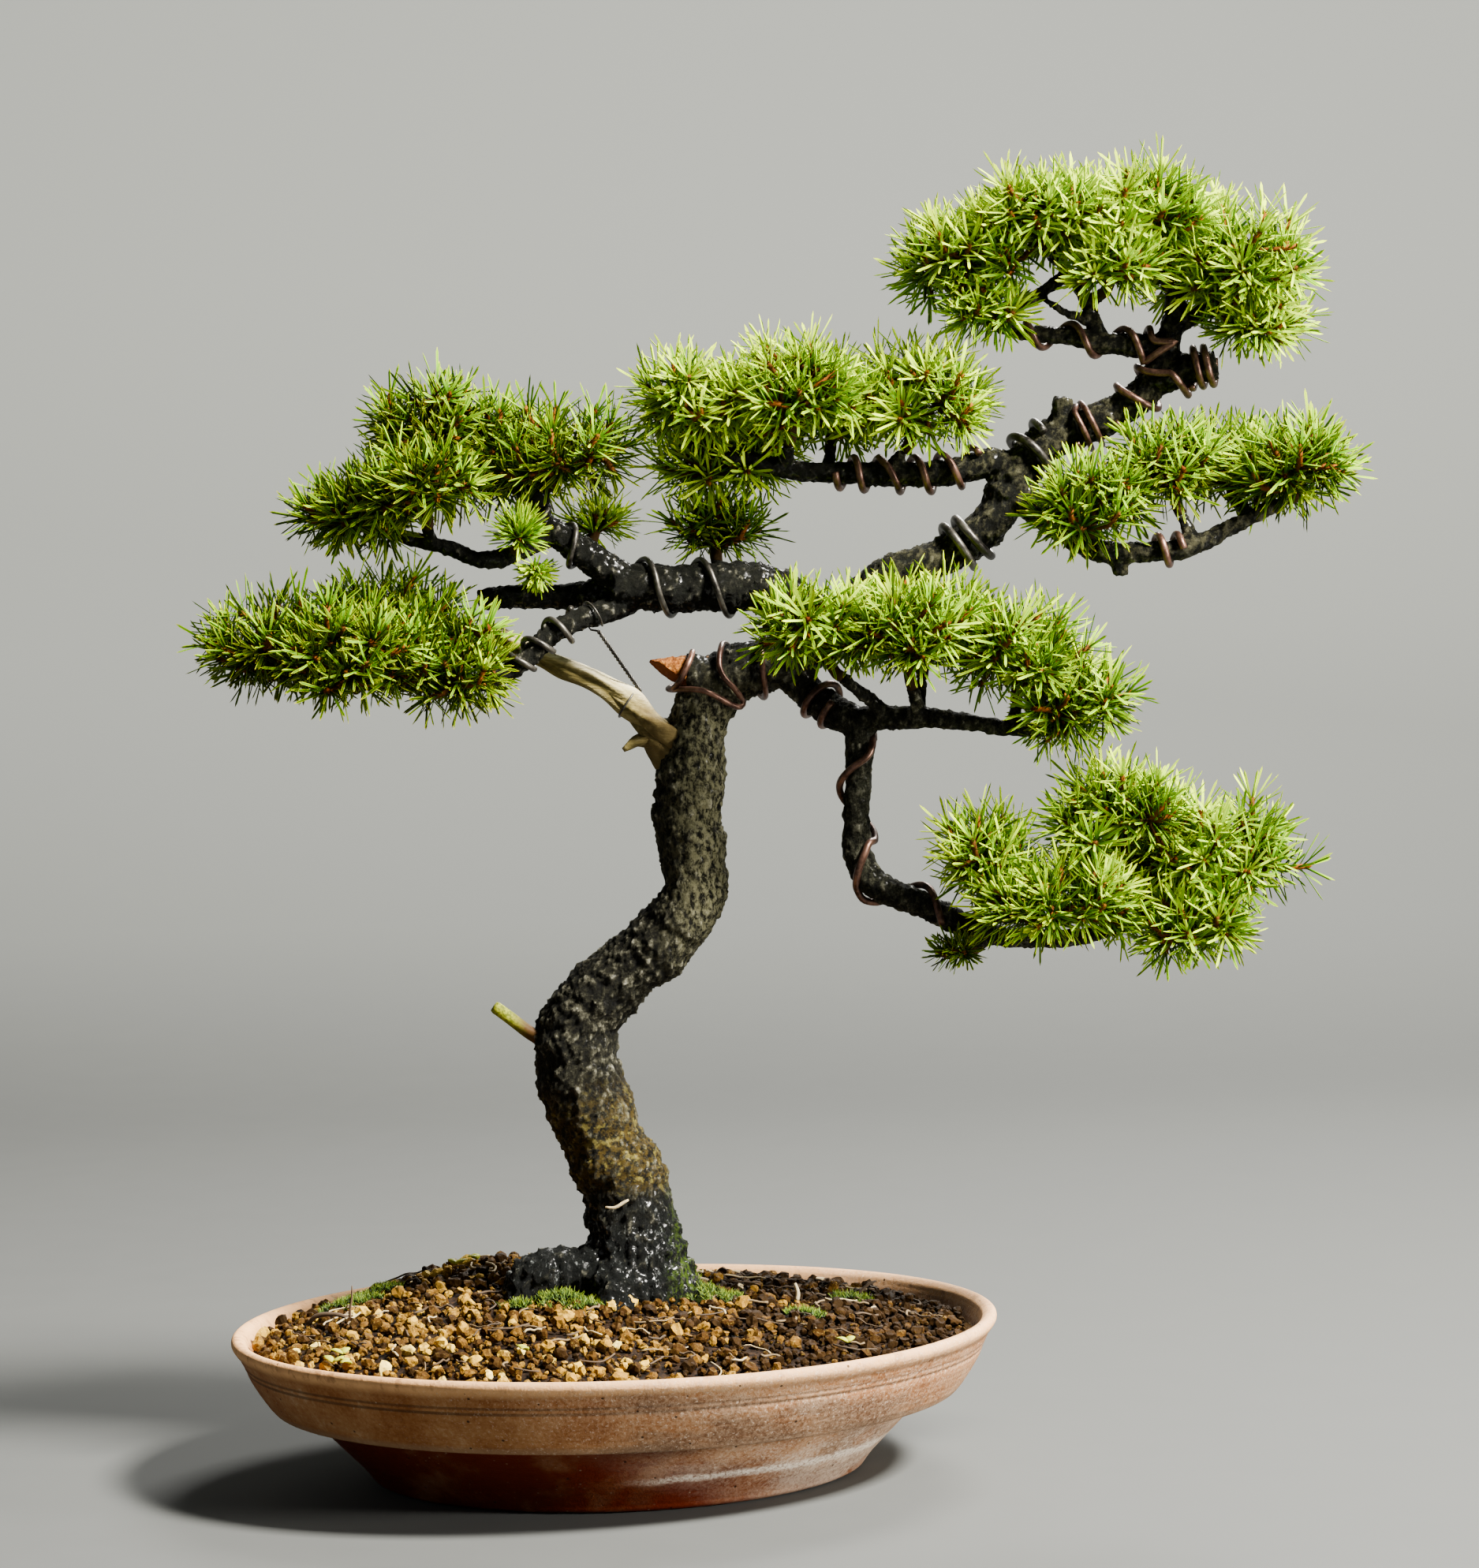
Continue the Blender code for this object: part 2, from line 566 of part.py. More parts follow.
def wall_inset(inset):
    """The pot's inside, moved in by the inset at right angles to each wall."""
    moved = []
    wall = [(0.0, POT_FLOOR)] + POT_INSIDE
    for before, here, after in zip(wall, wall[1:], wall[2:] + [wall[-1]]):
        first = Vector((here[0] - before[0], here[1] - before[1])).normalized()
        second = Vector((after[0] - here[0], after[1] - here[1]))
        second = second.normalized() if second.length else first
        normal = (Vector((-first.y, first.x)) + Vector((-second.y, second.x))).normalized()
        reach = inset / max(0.3, normal.dot(Vector((-first.y, first.x))))
        moved.append((here[0] + normal.x * reach, here[1] + normal.y * reach))
    return moved


def make_soil(collection, foot):
    wall = wall_inset(GAP + 0.1)
    low, high = wall[-2], wall[-1]
    share = (SOIL_RIM - low[1]) / (high[1] - low[1])
    rim = (low[0] + (high[0] - low[0]) * share, SOIL_RIM)
    top = [(radius, SOIL_RIM + 5) for radius in SOIL_RINGS]
    profile = [(0.0, POT_FLOOR + GAP)] + wall[:-1] + [rim] + top[::-1] + [(0.0, SOIL_RIM + 5)]
    soil = turned("soil", profile, collection)
    for vert in soil.data.vertices:
        x = vert.co.x / MM
        y = vert.co.y / MM
        reach = math.hypot(x, y)
        if vert.co.z / MM > SOIL_RIM + 4:
            vert.co.z = (soil_height(x, y) + grain_relief(x, y)) * MM
        elif reach > rim[0] - 0.01 and vert.co.z / MM > SOIL_RIM - 0.01:
            lower = SOIL_TILT * x / reach
            step_in = (high[0] - low[0]) / (high[1] - low[1]) * lower
            vert.co.z += lower * MM
            vert.co.x *= (reach + step_in) / reach
            vert.co.y *= (reach + step_in) / reach
    cutters = []
    for side in (-1, 1):
        centre = (side * DRAIN_X, 0, POT_FLOOR)
        depth = 2 * (SCREEN_THICK + 2 * GAP)
        cutters.append(box("screen_room", centre, (SCREEN_SIDE + 0.8, SCREEN_SIDE + 0.8, depth), collection))
    combine(soil, cutters + foot, "DIFFERENCE", "EXACT")
    largest_body(soil)
    soil.data.materials.append(material("soil_grains", COLOURS["soil"], 0.95))


# The wood.
def wood_lines():
    lines = {"trunk": smooth(TRUNK, TRUNK_STEP)}
    for name, points in BRANCHES.items():
        lines[name] = smooth(points, BRANCH_STEP)
    return lines


def bark(obj):
    """Coarse ridges on the lower trunk, by formula."""
    obj.data.update()
    normals = [vert.normal.copy() for vert in obj.data.vertices]
    for vert, normal in zip(obj.data.vertices, normals):
        x, y, z = vert.co / MM
        if not RELIEF_FOOT < z < RELIEF_TOP:
            continue
        wave = math.sin(0.31 * x + 0.17 * z + 1.7 * math.sin(0.11 * z)) * math.cos(0.37 * y - 0.13 * z)
        vert.co += normal * (TRUNK_RELIEF * wave * MM)


def foot_names():
    return [name for name in BRANCHES if name.startswith("root")]


def make_foot_cutters(lines, collection):
    """The trunk's foot and roots, a little thicker, as the hole that they stand in."""
    thick = []
    for name in ["trunk"] + foot_names():
        line = lines[name].copy()
        if name == "trunk":
            line = line[line[:, 2] < 100]
        line[:, 3] += SOIL_HOLE_GAP
        first = line[0] if name == "trunk" else line[-1]
        second = line[1] if name == "trunk" else line[-2]
        way = (first[:3] - second[:3]) / np.linalg.norm(first[:3] - second[:3])
        first[:3] += way * SOIL_HOLE_GAP
        thick.append(tube("hole_" + name, line, 3 if name == "trunk" else 1, collection))
    return thick


def make_tree(lines, twigs, collection):
    tree = tube("tree", lines["trunk"], 3, collection)
    bark(tree)
    parts = []
    for name in BRANCHES:
        rounding = 0 if lines[name][0, 3] < 4 else 1
        parts.append(tube("wood_" + name, lines[name], rounding, collection))
    for name, line in twigs.items():
        parts.append(tube("twig_" + name, line, 0, collection))
    combine(tree, parts, "UNION", "MANIFOLD")
    dropped = largest_body(tree)
    print("tree: scraps dropped", dropped)
    tree.data.materials.append(material("bark", COLOURS["tree"], 0.85))


# The wires.
def coil(line, start, end, turns, angle, radius, swell):
    """Points of a wire wound on a line of wood, between two places on it."""
    first = length_at(line, *start)
    last = length_at(line, *end)
    count = max(4, round(abs(turns) * WIRE_TURN_POINTS))
    points = []
    for i in range(count + 1):
        share = i / count
        centre, thick, way = at(line, first + (last - first) * share)
        if last < first:
            way = -way
        side = (FRONT - way * FRONT.dot(way)).normalized()
        other = way.cross(side)
        turn = math.radians(angle) + 2 * math.pi * turns * share
        reach = (thick + swell + radius + GAP) / math.cos(math.pi / WIRE_TURN_POINTS)
        points.append(np.array(centre + (side * math.cos(turn) + other * math.sin(turn)) * reach))
    return points


def bridge(start, end):
    """Points between two coils of one wire."""
    steps = max(2, round(float(np.linalg.norm(end - start)) / 6))
    return [start + (end - start) * i / steps for i in range(1, steps)]


def wire_line(points, radius):
    return np.hstack([points, np.full((len(points), 1), radius)])


def wire_lines(lines, wood):
    """Each wire's line, bent clear of the wood and of the wires laid before it."""
    laid = {}
    rods = wood.copy()
    for name, (radius, coils) in WIRES.items():
        points = []
        for carrier, start, end, turns, angle in coils:
            swell = TRUNK_SWELL if carrier == "trunk" else 0.0
            more = coil(lines[carrier], start, end, turns, angle, radius, swell)
            if points:
                points += bridge(points[-1], more[0])
            points += more
        points = bend_clear(name, points, radius, rods, GAP)
        laid[name] = wire_line(points, radius)
        rods = np.vstack([rods, rods_of(laid[name])])
    points = bend_clear("guy_wire", guy_points(lines), GUY_RADIUS, rods, GAP)
    laid["guy_wire"] = wire_line(points, GUY_RADIUS)
    return laid


def guy_points(lines):
    """One thin wire: a loop on the left branch, a twisted run down, a loop on the deadwood and back up."""
    top = Vector(GUY_TOP)
    foot = Vector(GUY_FOOT)
    way = (foot - top).normalized()
    side = (FRONT - way * FRONT.dot(way)).normalized()
    other = way.cross(side)
    reach = (GUY_RADIUS + 0.5 * GAP) / math.cos(math.pi / GUY_TURN_POINTS)
    count = GUY_TURNS * GUY_TURN_POINTS
    strands = []
    for phase in (0.0, math.pi):
        strand = []
        for i in range(count + 1):
            turn = phase + 2 * math.pi * GUY_TURNS * i / count
            offset = (side * math.cos(turn) + other * math.sin(turn)) * reach
            strand.append(top + (foot - top) * i / count + offset)
        strands.append(strand)
    jin = lines["jin"]
    branch = lines["lower_left"]
    low = loop_points(jin, foot, GUY_RADIUS, GUY_FOOT_POINTS)
    high = loop_points(branch, top, GUY_RADIUS, GUY_TOP_POINTS)
    points = high + strands[0] + low + strands[1][::-1]
    return [np.array(point) for point in points]


def loop_points(line, near, radius, count):
    """An open loop round the wood beside a point, starting and ending near that point."""
    centre, thick, way = at(line, length_at(line, near.x, near.z))
    side = near - centre
    side = (side - way * side.dot(way)).normalized()
    other = way.cross(side)
    reach = (thick + radius + GAP) / math.cos(math.pi / count)
    points = []
    for i in range(count + 1):
        share = i / count
        turn = LOOP_START + LOOP_TURN * share
        offset = (side * math.cos(turn) + other * math.sin(turn)) * reach
        points.append(centre + offset + way * (share - 0.5) * LOOP_PITCH)
    return points


def make_wires(wires, collection):
    for name, line in wires.items():
        tube(name, line, 0, collection)
        colour = "dark" if name in DARK_WIRES else "copper"
        bpy.data.objects[name].data.materials.append(material(name + "_metal", COLOURS[colour], 0.45))


# The foliage.
def carriers_of(name):
    pad = name if name in CARRIERS else name[:5]
    return CARRIERS[pad]


def stem_of(name, root, end, lift):
    """The leafy stem's axis: on from the twig's end to the middle of the lobe."""
    x, y, z, _, _, half = LOBES[name]
    way = (end - root).normalized()
    start = end + way * GAP
    knee = start + way * STEM_KNEE
    fork = Vector((x, y, z + (lift + STEM_AIM) * half))
    return [start, knee, fork]


def twig_cost(way, lift, root, end, stem, wood, wires):
    """How unfit a twig is: its length, with more for what it or its stem would touch."""
    leaf = stem[2] - stem[1]
    cost = way.length + COST_LIFT * lift
    if not free_of(root, end, TWIG_ROOT, wires, TWIG_CLEAR):
        cost += COST_WIRE
    if not free_of(stem[0], stem[1], TWIG_TIP, wood, TWIG_CLEAR):
        cost += COST_WOOD
    if not free_of(stem[1], stem[2], TWIG_TIP, wood, TWIG_CLEAR):
        cost += COST_WOOD
    if leaf.length < STEM_SHORTEST:
        cost += COST_SHORT
    if leaf.dot(way) < 0:
        cost += COST_BACK
    return cost


def twig_and_stem(name, lines, wood, wires):
    """The twig that carries a lobe and the leafy stem that goes on from it, clear of wood and wires."""
    x, y, z, _, _, half = LOBES[name]
    best = None
    for carrier, share, lift in itertools.product(carriers_of(name), range(TWIG_TRIES), LIFTS):
        line = lines[carrier]
        total = float(np.linalg.norm(np.diff(line[:, :3], axis=0), axis=1).sum())
        first = total - TWIG_TRUNK if carrier == "trunk" else TWIG_FROM * total
        root, thick, _ = at(line, first + (total - 1.0 - first) * share / (TWIG_TRIES - 1))
        way = Vector((x, y, z + (lift + TWIG_AIM) * half)) - root
        if way.length < TWIG_SHORTEST:
            continue
        end = root + way * min(0.7, max(0.5, 1 - 14 / way.length))
        if (end - root).length < thick + TWIG_STUB:
            end = root + way.normalized() * (thick + TWIG_STUB)
        stem = stem_of(name, root, end, lift)
        cost = twig_cost(way, lift, root, end, stem, wood, wires)
        if best is None or cost < best[0]:
            best = (cost, root, end, stem)
    if best[0] > COST_REFUSED:
        print(name, "has no clear stem", best[0])
    twig = np.array([(*best[1], TWIG_ROOT), (*best[2], TWIG_TIP)])
    return twig, best[3]


def shoot_tips(name, count, seed):
    """Tips spread evenly over the lobe, from its top to below its middle."""
    x, y, z, rx, ry, rz = LOBES[name]
    chance = random.Random(seed)
    turn = chance.uniform(0, 2 * math.pi)
    tips = []
    for i in range(count):
        height = TIPS_FROM - TIPS_DOWN * (i + 0.5) / count
        flat = math.sqrt(1 - height * height)
        angle = turn + i * GOLDEN + chance.uniform(-0.15, 0.15)
        way = Vector((flat * math.cos(angle), flat * math.sin(angle), height))
        reach = chance.uniform(0.94, 1.04)
        tip = Vector((way.x * (rx - 8) * reach, way.y * (ry - 8) * reach, way.z * (rz - 7) * reach))
        tips.append(Vector((x, y, z)) + tip)
    return tips


def shoots_of(name, stem, others, seed):
    """The shoots of a leafy stem that keep clear of all else: root, tip and twist."""
    reach = LOBES[name][3]
    count = SHOOTS
    if reach < MIDDLE_LOBE:
        count = MIDDLE_LOBE_SHOOTS
    if reach < SMALL_LOBE:
        count = SMALL_LOBE_SHOOTS
    chance = random.Random(seed + 5)
    shoots = []
    tips = shoot_tips(name, count, seed)
    for i, tip in enumerate(tips):
        root = stem[2].lerp(stem[1], 0.12 + 0.8 * i / (count - 1))
        for attempt in range(SHOOT_TRIES):
            aside = Vector((chance.uniform(-1, 1), chance.uniform(-1, 1), chance.uniform(-1, 1)))
            moved = tip + aside * attempt * 0.6
            if free_of(root, moved, SHOOT_ROOT, others):
                shoots.append((root, moved, chance.uniform(0, 1.57)))
                break
    return shoots


def needles_of(shoot, others, chance):
    """The needles of one shoot that keep clear of all else: one at its end and others from its sides."""
    root, tip, twist = shoot
    way = (tip - root).normalized()
    turn = frame_along(tip - root, twist)
    found = []
    places = [(1.0, None, 0)] + NEEDLE_PLACES
    for share, face, lean in places:
        length = NEEDLE_LENGTH * chance.uniform(0.92, 1.08)
        if face is None:
            start = tip - way * NEEDLE_SUNK
            out = way
        else:
            angle = math.pi / 2 + 2 * math.pi * (face + 0.5) / SHOOT_SIDES
            side = turn @ Vector((math.cos(angle), math.sin(angle), 0))
            thick = SHOOT_ROOT + (SHOOT_TIP - SHOOT_ROOT) * share
            out = side * math.sin(math.radians(lean)) + way * math.cos(math.radians(lean))
            inward = thick * math.cos(math.pi / SHOOT_SIDES) - NEEDLE_SUNK
            start = root.lerp(tip, share) + side * inward
        end = start + out * length
        if free_of(start, end, NEEDLE_ROOT, others):
            found.append((start, end))
    return found


def rod_row(start, end, radius_start, radius_end):
    return np.array([[*start, *end, radius_start, radius_end]])


def grow(stems, solid):
    """Shoots and needles of every lobe, each clear of the other lobes and of the wood and wires."""
    shoots = {}
    taken = {}
    for name in LOBES:
        a, b, c = stems[name]
        rows = [rod_row(a, b, TWIG_TIP, TWIG_TIP), rod_row(b, c, TWIG_TIP, STEM_TIP)]
        taken[name] = np.vstack(rows)
    for number, name in enumerate(LOBES):
        rest = np.vstack([solid] + [rows for other, rows in taken.items() if other != name])
        shoots[name] = shoots_of(name, stems[name], rest, 100 + number)
        for root, tip, _ in shoots[name]:
            taken[name] = np.vstack([taken[name], rod_row(root, tip, SHOOT_ROOT, SHOOT_TIP)])
    needles = {}
    for number, name in enumerate(LOBES):
        rest = np.vstack([solid] + [rows for other, rows in taken.items() if other != name])
        chance = random.Random(500 + number)
        needles[name] = []
        for shoot in shoots[name]:
            needles[name] += needles_of(shoot, rest, chance)
        for start, end in needles[name]:
            taken[name] = np.vstack([taken[name], rod_row(start, end, NEEDLE_ROOT, 0.0)])
    return shoots, needles


def make_stem(name, stem, shoots, needles, collection):
    start, knee, fork = stem
    line = np.array([(*start, TWIG_TIP), (*knee, TWIG_TIP), (*fork, STEM_TIP)])
    body = tube(name, line, 0, collection)
    parts = []
    for root, tip, twist in shoots:
        parts.append(rod("shoot", root, tip, SHOOT_ROOT, SHOOT_TIP, SHOOT_SIDES, collection, twist))
    for root, tip in needles:
        parts.append(rod("needle", root, tip, NEEDLE_ROOT, 0.0, 3, collection))
    combine(body, parts, "UNION", "MANIFOLD")
    dropped = largest_body(body)
    if dropped:
        print(name, "scraps dropped", dropped)
    body.data.materials.append(material(name + "_green", COLOURS["leaf"], 0.55))


def main():
    for old in list(bpy.data.objects):
        bpy.data.objects.remove(old)
    collection = bpy.data.collections.new("spruce_bonsai")
    bpy.context.scene.collection.children.link(collection)
    lines = wood_lines()
    wood = np.vstack([rods_of(line) for line in lines.values()])
    wires = wire_lines(lines, wood)
    wire_rods = np.vstack([rods_of(line) for line in wires.values()])
    twigs = {}
    stems = {}
    hard = np.vstack([wood, wire_rods])
    for name in LOBES:
        twigs[name], stems[name] = twig_and_stem(name, lines, hard, wire_rods)
        hard = np.vstack([hard, rods_of(twigs[name])])
    make_pot(collection)
    make_screens(collection)
    make_soil(collection, make_foot_cutters(lines, collection))
    make_tree(lines, twigs, collection)
    make_wires(wires, collection)
    solid = np.vstack([wood, wire_rods] + [rods_of(line) for line in twigs.values()])
    shoots, needles = grow(stems, solid)
    for name in LOBES:
        make_stem(name, stems[name], shoots[name], needles[name], collection)
    counts = {}
    for obj in collection.objects:
        counts[obj.name] = sum(len(face.vertices) - 2 for face in obj.data.polygons)
    leaves = sum(count for name, count in counts.items() if name in LOBES)
    wire_sum = sum(count for name, count in counts.items() if name in wires)
    print("nodes", len(counts), "triangles", sum(counts.values()), "foliage", leaves, "wires", wire_sum)
    print({name: counts[name] for name in ("pot", "soil", "tree", "drain_screen_left")})
    print("needles", sum(len(found) for found in needles.values()))


main()
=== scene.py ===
import math
import random

import bmesh
import bpy
import numpy as np
from mathutils import Matrix, Vector, noise


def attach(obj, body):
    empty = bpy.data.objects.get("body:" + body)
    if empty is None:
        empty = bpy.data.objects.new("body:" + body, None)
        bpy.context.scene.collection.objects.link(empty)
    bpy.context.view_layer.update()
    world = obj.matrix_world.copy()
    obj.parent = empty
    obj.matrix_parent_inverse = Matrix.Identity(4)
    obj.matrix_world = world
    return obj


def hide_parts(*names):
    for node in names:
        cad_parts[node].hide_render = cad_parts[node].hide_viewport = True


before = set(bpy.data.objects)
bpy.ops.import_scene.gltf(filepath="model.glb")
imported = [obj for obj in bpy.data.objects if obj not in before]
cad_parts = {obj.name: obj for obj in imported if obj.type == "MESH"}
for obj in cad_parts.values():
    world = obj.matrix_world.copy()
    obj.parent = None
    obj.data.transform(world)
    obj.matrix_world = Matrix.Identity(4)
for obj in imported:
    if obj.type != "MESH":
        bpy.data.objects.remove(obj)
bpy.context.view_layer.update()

mm = 0.001                                        # lengths are in millimetres, apart from the studio's
front = Vector((0.0, -1.0, 0.0))
golden = math.radians(137.508)
anyTurn = 6.28                                    # a random turn is between 0 and this
curvePoints = 12                                  # points on each span of a smooth line, before it is spaced
halfLook = 1.5                                    # how far each way a line's direction is taken
lineTries = 400                                   # places looked at to find the nearest on a line
bendRounds = 160                                  # how often a wire's points are moved out, at most
bendSpare = 0.02                                  # how much further they are moved than they have to be
bendEnough = 0.01                                 # how much may be lacking in the end


# shader sums and nodes
class Sock:                                       # a number socket that can stand in a sum
    def __init__(self, finish, socket):
        self.finish = finish
        self.socket = socket

    def __add__(self, other):
        return self.finish.math("ADD", self, other)

    def __sub__(self, other):
        return self.finish.math("SUBTRACT", self, other)

    def __mul__(self, other):
        return self.finish.math("MULTIPLY", self, other)

    def __truediv__(self, other):
        return self.finish.math("DIVIDE", self, other)

    def __pow__(self, other):
        return self.finish.math("POWER", self, other)

    def __rsub__(self, other):
        return self.finish.math("SUBTRACT", other, self)

    def __rtruediv__(self, other):
        return self.finish.math("DIVIDE", other, self)

    def __rpow__(self, other):
        return self.finish.math("POWER", other, self)

    __radd__ = __add__
    __rmul__ = __mul__


class Finish:                                     # one procedural material
    def __init__(self, name, **fixed):
        self.material = bpy.data.materials.new(name)
        self.material.use_nodes = True
        self.nodes = self.material.node_tree.nodes
        self.links = self.material.node_tree.links
        self.shader = self.nodes["Principled BSDF"]
        self.feed(self.shader, {key.replace("_", " "): value for key, value in fixed.items()})
        self.place = self.node("TexCoord", output="Object")

    def feed(self, node, inputs):
        for key, value in inputs.items():
            if isinstance(value, Sock):
                self.links.new(value.socket, node.inputs[key])
            elif node.inputs[key].type == "RGBA":
                node.inputs[key].default_value = (*value, 1.0)
            else:
                node.inputs[key].default_value = value

    def node(self, kind, settings=None, inputs=None, output=0):
        made = self.nodes.new("ShaderNode" + kind)
        for key, value in (settings or {}).items():
            if key == "stops":
                while len(made.color_ramp.elements) < len(value):
                    made.color_ramp.elements.new(0.5)
                for stop, (where, colour) in zip(made.color_ramp.elements, value):
                    stop.position = where
                    stop.color = (*colour, 1.0)
            else:
                setattr(made, key, value)
        self.feed(made, inputs or {})
        return Sock(self, made.outputs[output])

    def math(self, operation, first, second):
        return self.node("Math", {"operation": operation}, {0: first, 1: second})

    def mix(self, first, second, share):
        return self.node("Mix", {"data_type": "RGBA"}, {0: share, 6: first, 7: second}, output=2)

    def layers(self, colour, tones, shares):      # each named colour laid over the last, by its share
        for name, share in shares.items():
            colour = self.mix(colour, tones[name], share)
        return colour

    def ramp(self, value, stops):
        return self.node("ValToRGB", {"stops": stops}, {0: value})

    def cloud(self, size, detail=4.0, rough=0.55, stretch=None):
        vector = self.place
        if stretch:
            vector = self.node("Mapping", {}, {"Vector": vector, "Scale": stretch})
        inputs = {"Vector": vector, "Scale": 1 / (size * mm), "Detail": detail, "Roughness": rough}
        return self.node("TexNoise", {}, inputs)

    def cells(self, size):
        return self.node("TexVoronoi", {"feature": "F1"}, {"Vector": self.place, "Scale": 1 / (size * mm)})

    def between(self, value, low, high):          # 0 below low, 1 above high, smooth in between
        return self.node("MapRange", {"interpolation_type": "SMOOTHSTEP"}, {0: value, 1: low, 2: high})

    def band(self, value, low, full, last, high):             # 1 from full to last, 0 below low and above high
        return self.between(value, low, full) * (1 - self.between(value, last, high))

    def own(self, name, output="Fac"):            # a value stored on the mesh
        return self.node("Attribute", {"attribute_name": name}, output=output)

    def parts(self, vector, output):
        return self.node("SeparateXYZ", {}, {0: vector}, output=output)

    def spot(self, axis):                         # X, Y or Z of a place on the surface, in millimetres
        return self.parts(self.place, axis) / mm

    def finishWith(self, colour, roughness, height, depth, strength=1.0):
        bump = {"Height": height, "Distance": depth * mm, "Strength": strength}
        normal = self.node("Bump", {}, bump)
        self.feed(self.shader, {"Base Color": colour, "Roughness": roughness, "Normal": normal})
        return self


# lines, tubes and pieces
def smooth(points, step):                         # x, y, z, radius on a smooth line through the points
    given = np.array(points, float)
    ends = np.vstack([2 * given[0] - given[1], given, 2 * given[-1] - given[-2]])
    fine = []
    for i in range(1, len(ends) - 2):
        a, b, c, d = ends[i - 1 : i + 3]
        for t in np.linspace(0, 1, curvePoints, endpoint=False):
            bend = (2 * a - 5 * b + 4 * c - d) * t * t + (3 * b - a - 3 * c + d) * t**3
            fine.append(b + 0.5 * ((c - a) * t + bend))
    fine = np.array(fine + [given[-1]])
    along = lengthsOf(fine)
    wanted = np.linspace(0, along[-1], max(2, round(along[-1] / step)) + 1)
    return np.stack([np.interp(wanted, along, fine[:, k]) for k in range(given.shape[1])], axis=1)


def lengthsOf(line):
    return np.concatenate([[0], np.cumsum(np.linalg.norm(np.diff(line[:, :3], axis=0), axis=1))])


def at(line, s):                                  # point, radius and direction at a length along a line
    along = lengthsOf(line)
    s = min(max(s, 0.0), along[-1])
    values = [float(np.interp(s, along, line[:, k])) for k in range(4)]
    before = [np.interp(s - halfLook, along, line[:, k]) for k in range(3)]
    after = [np.interp(s + halfLook, along, line[:, k]) for k in range(3)]
    return Vector(values[:3]), values[3], (Vector(after) - Vector(before)).normalized()


def lengthAt(line, x, z):                         # where along the line it passes x and z, from the front
    along = lengthsOf(line)
    tries = np.linspace(0, along[-1], lineTries)
    xs = np.interp(tries, along, line[:, 0])
    zs = np.interp(tries, along, line[:, 2])
    return float(tries[np.argmin((xs - x) ** 2 + (zs - z) ** 2)])


def rodsOf(line):
    return np.hstack([line[:-1, :3], line[1:, :3], line[:-1, 3:4], line[1:, 3:4]])


def clearances(start, end, rods):                 # distance to each rod's axis and where it is nearest
    p = np.array(start)
    d1 = np.array(end) - p
    d2 = rods[:, 3:6] - rods[:, :3]
    r = p - rods[:, :3]
    a = float(d1 @ d1) + 1e-12
    e = np.einsum("ij,ij->i", d2, d2) + 1e-12
    f = np.einsum("ij,ij->i", d2, r)
    b = d2 @ d1
    c = r @ d1
    s = np.clip((b * f - c * e) / np.maximum(a * e - b * b, 1e-9), 0, 1)
    t = np.clip((b * s + f) / e, 0, 1)
    s = np.clip((b * t - c) / a, 0, 1)
    near = p + s[:, None] * d1
    other = rods[:, :3] + t[:, None] * d2
    return np.linalg.norm(near - other, axis=1), s, t, near - other


def freeOf(start, end, radius, rods, gap):
    distance, _, t, _ = clearances(start, end, rods)
    radii = rods[:, 6] + (rods[:, 7] - rods[:, 6]) * t
    return bool((distance > radii + radius + gap).all())


def bendClear(points, radius, rods, gap):         # moves a wire's points out until it lies clear
    points = np.array(points, float)
    for _ in range(bendRounds):
        worst = 0.0
        for i in range(len(points) - 1):
            distance, s, t, way = clearances(points[i], points[i + 1], rods)
            lack = rods[:, 6] + (rods[:, 7] - rods[:, 6]) * t + radius + gap - distance
            k = int(np.argmax(lack))
            if lack[k] <= 0:
                continue
            worst = max(worst, float(lack[k]))
            push = way[k] / max(distance[k], 1e-6) * (lack[k] + bendSpare)
            weight = (1 - s[k]) ** 2 + s[k] ** 2
            points[i] += push * (1 - s[k]) / weight
            points[i + 1] += push * s[k] / weight
        if worst < bendEnough:
            break
    return points


def squareTo(points):                             # two directions square to a line, carried along it
    ways = np.gradient(points, axis=0)
    ways /= np.linalg.norm(ways, axis=1)[:, None]
    helper = np.array([0.0, 0.0, 1.0]) if abs(ways[0][2]) < 0.9 else np.array([1.0, 0.0, 0.0])
    sides = [np.cross(ways[0], helper)]
    sides[0] /= np.linalg.norm(sides[0])
    for way in ways[1:]:
        side = sides[-1] - way * (sides[-1] @ way)
        sides.append(side / np.linalg.norm(side))
    sides = np.array(sides)
    return sides, np.cross(ways, sides)


def tube(line, sides, shape=None):                # rings along x, y, z, radius, closed at both ends
    line = np.asarray(line, float)
    aside, above = squareTo(line[:, :3])
    angles = np.arange(sides) * 2 * np.pi / sides
    radii = np.repeat(line[:, 3:4], sides, axis=1)
    if shape is not None:
        radii = radii * shape(np.arange(len(line))[:, None] / (len(line) - 1), angles[None, :])
    ring = np.cos(angles)[None, :, None] * aside[:, None] + np.sin(angles)[None, :, None] * above[:, None]
    points = (line[:, None, :3] + radii[:, :, None] * ring).reshape(-1, 3)
    faces = []
    for i in range(len(line) - 1):
        for j in range(sides):
            k = (j + 1) % sides
            faces.append([i * sides + j, i * sides + k, (i + 1) * sides + k, (i + 1) * sides + j])
    last = (len(line) - 1) * sides
    faces.append(list(range(sides))[::-1])
    faces.append(list(range(last, last + sides)))
    return points, faces


def gather(parts):                                # several point and face lists as one
    points, faces, start = [], [], 0
    for some, those in parts:
        points.append(some)
        faces.extend([[i + start for i in face] for face in those])
        start += len(some)
    return np.vstack(points), faces


